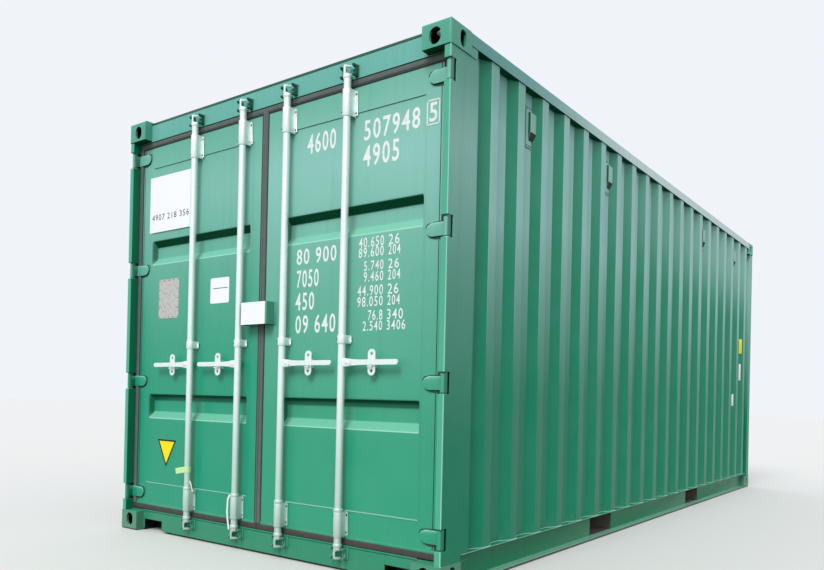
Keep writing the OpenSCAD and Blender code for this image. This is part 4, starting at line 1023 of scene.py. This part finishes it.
def lockingBar(number):
    tubeRadius, low, high = barPlace["radius"], bar["low"], bar["high"]
    nearEnd = np.linspace(0.002, 0.06, 8)
    z = np.sort(np.concatenate([np.linspace(low, high, 12), low + nearEnd, high - nearEnd]))
    fromEnd = np.minimum(z - low, high - z)
    radius = tubeRadius + bar["swell"] * smoothStep(1 - fromEnd / bar["swellRun"])
    shapes = [lathe([(0, low)] + list(zip(radius, z)) + [(0, high)], 28)]
    k = bar["collarHalf"]
    for c, r in bar["collars"]:
        shapes.append(lathe([(tubeRadius, c - k), (r - 0.0015, c - k), (r, c - k + 0.0025),
                             (r, c + k - 0.0025), (r - 0.0015, c + k), (tubeRadius, c + k)], 28))
    h, front, spine = bar["tall"] / 2, bar["front"], bar["front"] + bar["spine"]
    c, n = math.cos(math.radians(bar["turn"])), math.sin(math.radians(bar["turn"]))
    topBack = bar["back"] - 0.003
    for height, arm, back in ((bar["lowC"], bar["lowArm"], bar["lowBack"]),
                              (bar["topC"], bar["arm"], bar["back"])):
        loop = smoothLoop([(front, -h), (back, -h), (back, arm - h), (spine, 1.25 * arm - h),
                           (spine, h - 1.25 * arm), (topBack, h - arm), (topBack, h), (front, h)], 0.007, 5)
        forged = turned(prism(loop, -bar["halfWidth"], bar["halfWidth"], 0.0022, 3), **sideFace)
        shapes.append(turned(forged, x=(c, -n, 0), y=(n, c, 0), at=(0, 0, height)))
    fh, near, far = bar["forkH"] / 2, *bar["fork"]
    cheek = smoothLoop([(0.012, -fh), (bar["forkEnd"], -fh * 0.8), (bar["forkEnd"], fh * 0.8),
                        (0.012, fh)], 0.012, 5)
    plates = join(prism(cheek, near, far, 0.001), prism(cheek, -far, -near, 0.001))
    pin = lathe([(0, -0.0125), (0.0075, -0.0125), (0.0085, -0.0115), (0.0085, -0.0098),
                 (0.006, -0.0096), (0.006, 0.0096), (0.0085, 0.0098), (0.0085, 0.0125),
                 (0.0060, 0.0140), (0, 0.0142)], 16)
    hub = join(plates, moved(pin, (bar["pivot"], 0, 0)))
    hub = turned(hub, **doorFace, at=(0, 0, barPlace["handleZ"]))
    shapes.append(handed(hub, "left" if number < 3 else "right"))
    shape = moved(join(*shapes), (barPlace["xs"][number], barPlace["y"], 0))
    piece("lockingBar%d" % number, shape, "bar_%d" % number, "zinc", ("locking_bar_%d" % number,))


for number in range(1, 5):
    lockingBar(number)


# Guides: sheet bent over the bar, a flange with a curled edge on the right and two nuts on the cover
guide = dict(radius=0.0238, sheet=0.003, tab=0.031, curl=0.005,
             places=(dict(z=(0.173, 0.300), flange=0.030), dict(z=(1.139, 1.181), flange=0.028),
                     dict(z=(2.276, 2.412), flange=0.036)))


def guideShape(low, high, flange):
    out = leaf["face"] - barPlace["y"]
    a = np.linspace(math.pi, 0, 13)
    over = np.column_stack([guide["radius"] * np.cos(a), out + guide["radius"] * np.sin(a)])
    foot = 0.0004
    r = guide["radius"]
    path = np.vstack([[-guide["tab"], foot], [-r - 0.002, foot], [-r, foot + 0.002], over,
                      [r, foot + 0.002], [r + 0.002, foot]])
    cover = prism(strip(path, -guide["sheet"]), low, high, 0.0009)
    edge = np.array([[r - 0.002, foot], [flange, foot], [flange + 0.004, foot + guide["curl"] * 0.4],
                     [flange + 0.006, foot + guide["curl"]]])
    rest = prism(strip(edge, guide["sheet"]), low + 0.008, high - 0.006, 0.0009)
    return turned(join(cover, rest), x=(1, 0, 0), y=(0, -1, 0), z=(0, 0, 1), at=(0, leaf["face"], 0))


def barGuides(hand):
    shapes, nuts = [], []
    towards = np.array([-0.80, -0.60, 0.0])
    stud = turned(nut(0.0045, 0.0035), x=(0.60, -0.80, 0), y=(0, 0, 1), z=towards)
    flat = turned(nut(0.0040, 0.0030), **doorFace)
    for number in ((1, 2) if hand == "left" else (3, 4)):
        x = barPlace["xs"][number]
        for place in guide["places"]:
            low, high = place["z"]
            shapes.append(moved(guideShape(low, high, place["flange"]), (x, 0, 0)))
            inner = 0.020 if high - low > 0.1 else 0.5 * (high - low)
            at = np.array([x, barPlace["y"], 0]) + towards * (guide["radius"] - 0.0004)
            for z in sorted({round(low + inner, 4), round(high - inner, 4)}):
                nuts.append(moved(stud, at + (0, 0, z)))
                if high - low > 0.1:
                    nuts.append(moved(flat, (x + place["flange"] - 0.0045, leaf["face"] - 0.0033, z)))
    piece("barGuides" + hand.capitalize(), join(*shapes), "door_" + hand, "zinc", ("bar_guides_" + hand,), 30)
    piece("guideNuts" + hand.capitalize(), join(*nuts), "door_" + hand, "nut")


for hand in ("left", "right"):
    barGuides(hand)


# Lock box fronts: one white plate on each green half, and a flange where the right half is welded on
lockBox = dict(front=-3.025, z=(1.2585, 1.3815), x=dict(left=(-0.1300, -0.0272), right=(-0.0268, 0.0590)),
               flangeX=(0.0700, 0.0840), flangeY=(-2.9695, -2.9640))


def lockBoxFront(hand):
    x0, x1 = lockBox["x"][hand]
    z0, z1 = lockBox["z"]
    centre = ((x0 + x1) / 2, (z0 + z1) / 2)
    plate = prism(rectangle(x1 - x0, z1 - z0, 0.0008, centre=centre), 0.0, 0.0016, 0.0003)
    plate = turned(plate, **doorFace, at=(0, lockBox["front"], 0))
    piece("lockBoxFront" + hand.capitalize(), plate, "door_" + hand, "whiteFilm", smooth=15)


for hand in ("left", "right"):
    lockBoxFront(hand)
flange = block(lockBox["flangeX"], lockBox["flangeY"], (lockBox["z"][0] - 0.002, lockBox["z"][1] + 0.002),
               0.001, 0.0012)
piece("lockBoxFlange", flange, "door_right", "post")
print("locking gear made")


# Ventilators: flange riveted to the recess, and a hood whose slanted foot is open, with dark sheets of
# painted shade in its mouth and on its side that faces the doors
vent = dict(bays=(3, 7, 15, 19), back=1.1768, front=1.1915, top=2.428, frontFoot=2.322, foot=2.268,
            hood=(0.034, 0.103), flange=(0.005, 0.073), flangeZ=(2.232, 2.455), rivet=0.0050)


def ventilators():
    y0, y1 = vent["hood"]
    back, front = vent["back"], vent["front"]
    side = smoothLoop([(back - 0.001, vent["foot"]), (front, vent["frontFoot"]), (front, vent["top"] - 0.006),
                       (back - 0.001, vent["top"])], 0.004, 4)
    acrossBay = dict(x=(1, 0, 0), y=(0, 0, 1), z=(0, -1, 0))
    hood = turned(prism(side, -y1, -y0, 0.0018, 3), **acrossBay)
    drop = np.array([back - front, vent["foot"] - vent["frontFoot"]])
    low = np.array([front, vent["frontFoot"]])
    # painted shade: a dark sheet in the hood's open mouth
    mouthShade = np.array([low + share * drop + out for share, out in ((0.08, (0.0012, -0.0012)),
                                                                  (0.94, (0.0012, -0.0012)),
                                                                  (0.94, (-0.002, 0.002)),
                                                                  (0.08, (-0.002, 0.002)))])
    mouthShade = turned(prism(mouthShade, -y1 + 0.004, -y0 - 0.004, 0.0004), **acrossBay)
    # painted shade: a dark sheet on the hood's side that faces the doors
    cheek = turned(prism(inset(side, 0.0012), -y0, -y0 + 0.0005, 0.0001), **acrossBay)
    a, b = vent["flange"]
    centre = ((a + b) / 2, sum(vent["flangeZ"]) / 2)
    sheet = rectangle(b - a, vent["flangeZ"][1] - vent["flangeZ"][0], 0.006, centre=centre)
    flange = turned(prism(sheet, 0, 0.0026, 0.0012), **sideFace, at=(back, 0, 0))
    r = vent["rivet"]
    head = lathe([(0, r * 0.7), (r * 0.5, r * 0.62), (r * 0.9, r * 0.3), (r, 0), (0, 0)], 12)
    head = turned(head, **sideFace)
    spots = [(back + 0.0022, a + v, z) for v in (0.014, 0.036, 0.058)
             for z in (vent["flangeZ"][0] + 0.011, vent["flangeZ"][1] - 0.010)]
    pitch = wall["flat"] + 2 * wall["slope"] + wall["ridge"]
    places = [(0, hull["postBackY"] + (k - 1) * pitch, 0) for k in vent["bays"]]
    for name, shape, finish, stands in (("Hoods", hood, "wall", ("ventilators",)),
                                        ("MouthShades", mouthShade, "hollow", ()), ("CheekShades", cheek, "keeper", ()),
                                        ("Flanges", flange, "wall", ()),
                                        ("Rivets", copies(head, spots), "nut", ())):
        row = copies(shape, places)
        piece("vent" + name, join(row, mirrored(row)), "frame", finish, stands)


ventilators()


# Plates and films on the doors: the outline lies on the pressed sheet at its middle
def onLeaf(hand, outline, thick, lift=0.0002, edge=0.0003):
    middle = outline.mean(0)
    skin = float(leafSkin(hand, abs(middle[0]), middle[1]))
    return turned(prism(outline, 0, thick, edge), **doorFace, at=(0, skin - lift, 0))


def ring(outline, width, thick, hand, lift=0.0002):
    # closed band between an outline and the same outline moved inwards
    skin = float(leafSkin(hand, abs(outline[:, 0].mean()), outline[:, 1].mean()))
    inner = inset(outline, width)
    x, z = (np.stack([o[:, k] for o in (outline, outline, inner, inner)], 1) for k in (0, 1))
    h = np.array([[0.0, thick, thick, 0.0]]) + 0 * x
    return turned(grid(x, z, h, wrapU=True, wrapV=True), **doorFace, at=(0, skin - lift, 0))


def lettering(name, hand, finish, rows, weight=0.012, thick=0.0004, skin=None):
    # text is made into mesh, fitted to its limits and laid on the sheet
    shapes = []
    for text, x0, x1, z0, z1 in rows:
        font = bpy.data.curves.new(name, "FONT")
        font.body, font.offset, font.extrude, font.resolution_u = text, weight, 0.5, 3
        font.space_character = 1.2
        written = bpy.data.objects.new(name, font)
        mesh = bpy.data.meshes.new_from_object(written)
        points = np.empty(3 * len(mesh.vertices))
        mesh.vertices.foreach_get("co", points)
        points = points.reshape(-1, 3)
        faces = [list(polygon.vertices) for polygon in mesh.polygons]
        low, high = points.min(0), points.max(0)
        share = (points - low) / (high - low)
        x, z = x0 + (x1 - x0) * share[:, 0], z0 + (z1 - z0) * share[:, 1]
        front = leafSkin(hand, np.abs(x), z) if skin is None else skin
        shapes.append((np.stack([x, front - 0.0001 - thick * share[:, 2], z], 1), faces))
        bpy.data.objects.remove(written)
    piece(name, join(*shapes), "door_" + hand, finish, smooth=20)


# Painted plain numbers, each with its limits in x and z: code and serial, table, values and units
numbers = dict(
    large=[("4600", 0.288, 0.487, 2.149, 2.255), ("507948", 0.673, 1.011, 2.148, 2.250),
           ("5", 1.066, 1.111, 2.160, 2.250), ("4905", 0.669, 0.892, 2.016, 2.125)],
    table=[("80 900", 0.227, 0.507, 1.568, 1.652), ("7050", 0.231, 0.388, 1.446, 1.540),
           ("450", 0.225, 0.359, 1.325, 1.420), ("09 640", 0.228, 0.510, 1.202, 1.300)],
    values=[("40.650", "26", 0.655, 0.905, 1.615, 1.666), ("89.600", "204", 0.655, 0.912, 1.566, 1.615),
            ("5.740", "26", 0.690, 0.905, 1.499, 1.547), ("9.460", "204", 0.690, 0.914, 1.444, 1.494),
            ("44.900", "26", 0.652, 0.905, 1.375, 1.426), ("98.050", "204", 0.652, 0.915, 1.321, 1.371),
            ("76.8", "340", 0.722, 0.935, 1.252, 1.303), ("2.540", "3406", 0.690, 0.950, 1.201, 1.249)],
    valueEnd=0.812, unitStart=0.840)
lettering("numbersLarge", "right", "stencil", numbers["large"], 0.014)
lettering("numbersTable", "right", "stencil", numbers["table"], 0.012)
small = [(value, x0, numbers["valueEnd"], z0, z1) for value, _, x0, _, z0, z1 in numbers["values"]]
small += [(unitText, numbers["unitStart"], x1, z0, z1) for _, unitText, _, x1, z0, z1 in numbers["values"]]
lettering("numbersSmall", "right", "stencil", small, 0.006)

# Plates: width, height, corner radius, corner steps and centre of each rounded outline
plates = dict(checkFrame=(0.074, 0.118, 0.002, 2, (1.088, 2.205)),
              sign=(0.400, 0.352, 0.003, 2, (-0.8725, 2.061)),
              data=(0.198, 0.244, 0.006, 3, (-0.8685, 1.4595)),
              label=(0.164, 0.149, 0.010, 4, (-0.390, 1.4775)),
              labelLine=(0.128, 0.0042, 0.001, 2, (-0.384, 1.4910)),
              signThick=0.0018, signRow=("4907 218 356", -1.048, -0.684, 1.960, 1.997),
              rivetX=(-0.960, -0.914, -0.868, -0.822, -0.777), rivetZ=(1.345, 1.402, 1.460, 1.517, 1.574),
              triangle=[(-0.8600, 0.4130), (-0.7640, 0.5800), (-0.9450, 0.5810)], border=0.010)


def plateOutline(key):
    return rectangle(*plates[key])


piece("checkDigitFrame", ring(plateOutline("checkFrame"), 0.006, 0.0004, "right"), "door_right", "stencil")

# Left door: blank sign with one row of plain numbers, data plate with rivets, label, warning triangle
sign = prism(plateOutline("sign"), 0, plates["signThick"], 0.0005)
piece("doorSign", turned(sign, **doorFace, at=(0, leaf["face"] - 0.0004, 0)), "door_left", "whiteFilm",
      smooth=15)
lettering("signNumbers", "left", "blackFilm", [plates["signRow"]], 0.0,
          skin=leaf["face"] - plates["signThick"] - 0.0004)
piece("dataPlate", onLeaf("left", plateOutline("data"), 0.0012), "door_left", "plate", smooth=15)
rivet = lathe([(0, 0.0022), (0.0022, 0.0020), (0.0036, 0.0010), (0.0040, 0.0), (0, 0)], 10)
rivet = turned(rivet, **doorFace)
dataX, dataZ = plates["data"][-1]
rivetY = float(leafSkin("left", -dataX, dataZ)) - 0.0012
rivetX, rivetZ = plates["rivetX"], plates["rivetZ"]
spots = [(x, rivetY, z) for x in rivetX for z in (rivetZ[0], rivetZ[-1])]
spots += [(x, rivetY, z) for x in (rivetX[0], rivetX[-1]) for z in rivetZ[1:-1]]
piece("dataPlateRivets", copies(rivet, spots), "door_left", "nut")
piece("doorLabel", onLeaf("left", plateOutline("label"), 0.0008), "door_left", "whiteFilm", smooth=15)
piece("doorLabelLine", onLeaf("left", plateOutline("labelLine"), 0.0006, 0.0008, 0.0002), "door_left",
      "blackFilm")
triangle = smoothLoop(plates["triangle"], 0.004, 3)
piece("warningTriangle", onLeaf("left", triangle, 0.0006), "door_left", "yellowFilm", smooth=15)
piece("warningBorder", ring(triangle, plates["border"], 0.0008, "left"), "door_left", "hollow")
print("plates and numbers laid")


# Tape tag round the first bar, and white straps hanging beside the lower guides; a strap is a flat
# band along a path, its width along the path's side in the door's plane
straps = dict(
    tapeZ=(0.402, 0.436), tapeTag=[(-0.598, -3.024, 0.418), (-0.640, -3.026, 0.411), (-0.674, -3.027, 0.404)],
    left=[(-0.204, -3.012, 0.305), (-0.214, -3.017, 0.280), (-0.217, -3.018, 0.208),
          (-0.211, -3.018, 0.164), (-0.200, -3.018, 0.112)],
    right=[(-0.568, -3.005, 0.352), (-0.556, -3.003, 0.325), (-0.552, -2.995, 0.290)],
    widths=dict(tapeTag=0.034, left=0.011, right=0.009), tapeThick=0.0012, thick=0.002)


def strap(name, path, width, thick, body, finish):
    path = roundedPath(path, 0.03, 8)
    ahead = unit(np.gradient(path, axis=0))
    side = unit(np.cross(ahead, (0, 1, 0))) * width / 2
    out = np.array([0, -thick, 0])
    corners = np.stack([path - side, path + side, path + side + out, path - side + out], 1)
    shape = grid(corners[..., 0], corners[..., 1], corners[..., 2], wrapV=True)
    last = 4 * (len(path) - 1)
    piece(name, (shape[0], shape[1] + [[3, 2, 1, 0], [last, last + 1, last + 2, last + 3]]), body, finish)


around = np.linspace(0, 2 * math.pi, 25)[:, None]
cuff = barPlace["radius"] + 0.0008 + np.array([[0.0, 0.0012, 0.0012, 0.0]])
tapeLow, tapeHigh = straps["tapeZ"]
cuffShape = grid(cuff * np.cos(around) + barPlace["xs"][1], cuff * np.sin(around) + barPlace["y"],
                 np.array([[tapeLow, tapeLow, tapeHigh, tapeHigh]]) + 0 * around, wrapV=True)
piece("tapeCuff", cuffShape, "bar_1", "tape")
strap("tapeTag", straps["tapeTag"], straps["widths"]["tapeTag"], straps["tapeThick"], "bar_1", "tape")
for hand in ("left", "right"):
    strap("strap" + hand.capitalize(), straps[hand], straps["widths"][hand], straps["thick"], "door_left",
          "whiteFilm")


# Stickers near the far end, on the slopes that face the doors: bay, limits along the slope and in
# height, and finish
stickers = dict(Yellow=(20, 0.010, 0.052, 1.406, 1.556, "yellowFilm"),
                White=(20, 0.014, 0.040, 1.126, 1.298, "whiteFilm"),
                Faint=(19, 0.012, 0.040, 0.862, 0.980, "stencil"))


def slopeStickers():
    out = wall["ridgeX"] - wall["recessX"]
    slopeRun = math.hypot(wall["slope"], out)
    along = (out / slopeRun, wall["slope"] / slopeRun, 0)
    pitch = wall["flat"] + 2 * wall["slope"] + wall["ridge"]
    for name, (bay, s0, s1, z0, z1, finish) in stickers.items():
        sheet = rectangle(s1 - s0, z1 - z0, 0.004, 2, centre=((s0 + s1) / 2, (z0 + z1) / 2))
        at = (wall["recessX"] + 0.0010, hull["postBackY"] + (bay - 1) * pitch + wall["flat"], 0)
        shape = turned(prism(sheet, 0, 0.0006, 0.0002), x=along, y=(0, 0, 1),
                       z=(along[1], -along[0], 0), at=at)
        piece("sticker" + name, shape, "frame", finish)


slopeStickers()
print("small things fixed")


# Studio: pale ground and sky, which light the part a little differently from how they look
studioLook = dict(ground=(214, 212, 208), groundLight=(96, 96, 92), sky=(240, 244, 250),
                  skyLight=(236, 242, 250), skyStrength=0.92, sun=2.2, sunAngle=28,
                  sunFrom=(0.15, -0.68, 0.72))


def seenShare(tree):
    # 1 for rays that carry a view, 0 for those that carry light
    rays = addNode(tree, "LightPath").outputs
    seen = maths(tree, "MAXIMUM", rays["Is Camera Ray"], rays["Is Glossy Ray"])
    return maths(tree, "MAXIMUM", seen, rays["Is Transmission Ray"])


def studio():
    floor = bpy.data.meshes.new("studioFloor")
    floor.from_pydata([(-60, -60, -0.0005), (60, -60, -0.0005), (60, 60, -0.0005), (-60, 60, -0.0005)],
                      [], [(0, 1, 2, 3)])
    ground = bpy.data.objects.new("studioFloor", floor)
    scene.collection.objects.link(ground)
    material, tree, shader = startMaterial("studioFloor")
    tones = [rgb(*studioLook[key]) for key in ("groundLight", "ground")]
    plug(tree, shader, "Base Color", mixColour(tree, seenShare(tree), *tones))
    shader.inputs["Roughness"].default_value = 0.9
    floor.materials.append(material)
    world = bpy.data.worlds.new("studio")
    scene.world = world
    world.use_nodes = True
    tree = world.node_tree
    tree.nodes.clear()
    soft = addNode(tree, "Background", {"Color": rgb(*studioLook["skyLight"]),
                                        "Strength": studioLook["skyStrength"]})
    plain = addNode(tree, "Background", {"Color": rgb(*studioLook["sky"]), "Strength": 1.0})
    both = addNode(tree, "MixShader", {0: seenShare(tree), 1: soft.outputs[0], 2: plain.outputs[0]})
    end = tree.nodes.new("ShaderNodeOutputWorld")
    plug(tree, end, 0, both.outputs[0])
    sun = bpy.data.lights.new("softKey", "SUN")
    sun.energy, sun.angle = studioLook["sun"], math.radians(studioLook["sunAngle"])
    lamp = bpy.data.objects.new("softKey", sun)
    scene.collection.objects.link(lamp)
    lamp.rotation_euler = Vector(studioLook["sunFrom"]).to_track_quat("Z", "Y").to_euler()
    scene.view_settings.view_transform = "Standard"


studio()
print("studio lit")

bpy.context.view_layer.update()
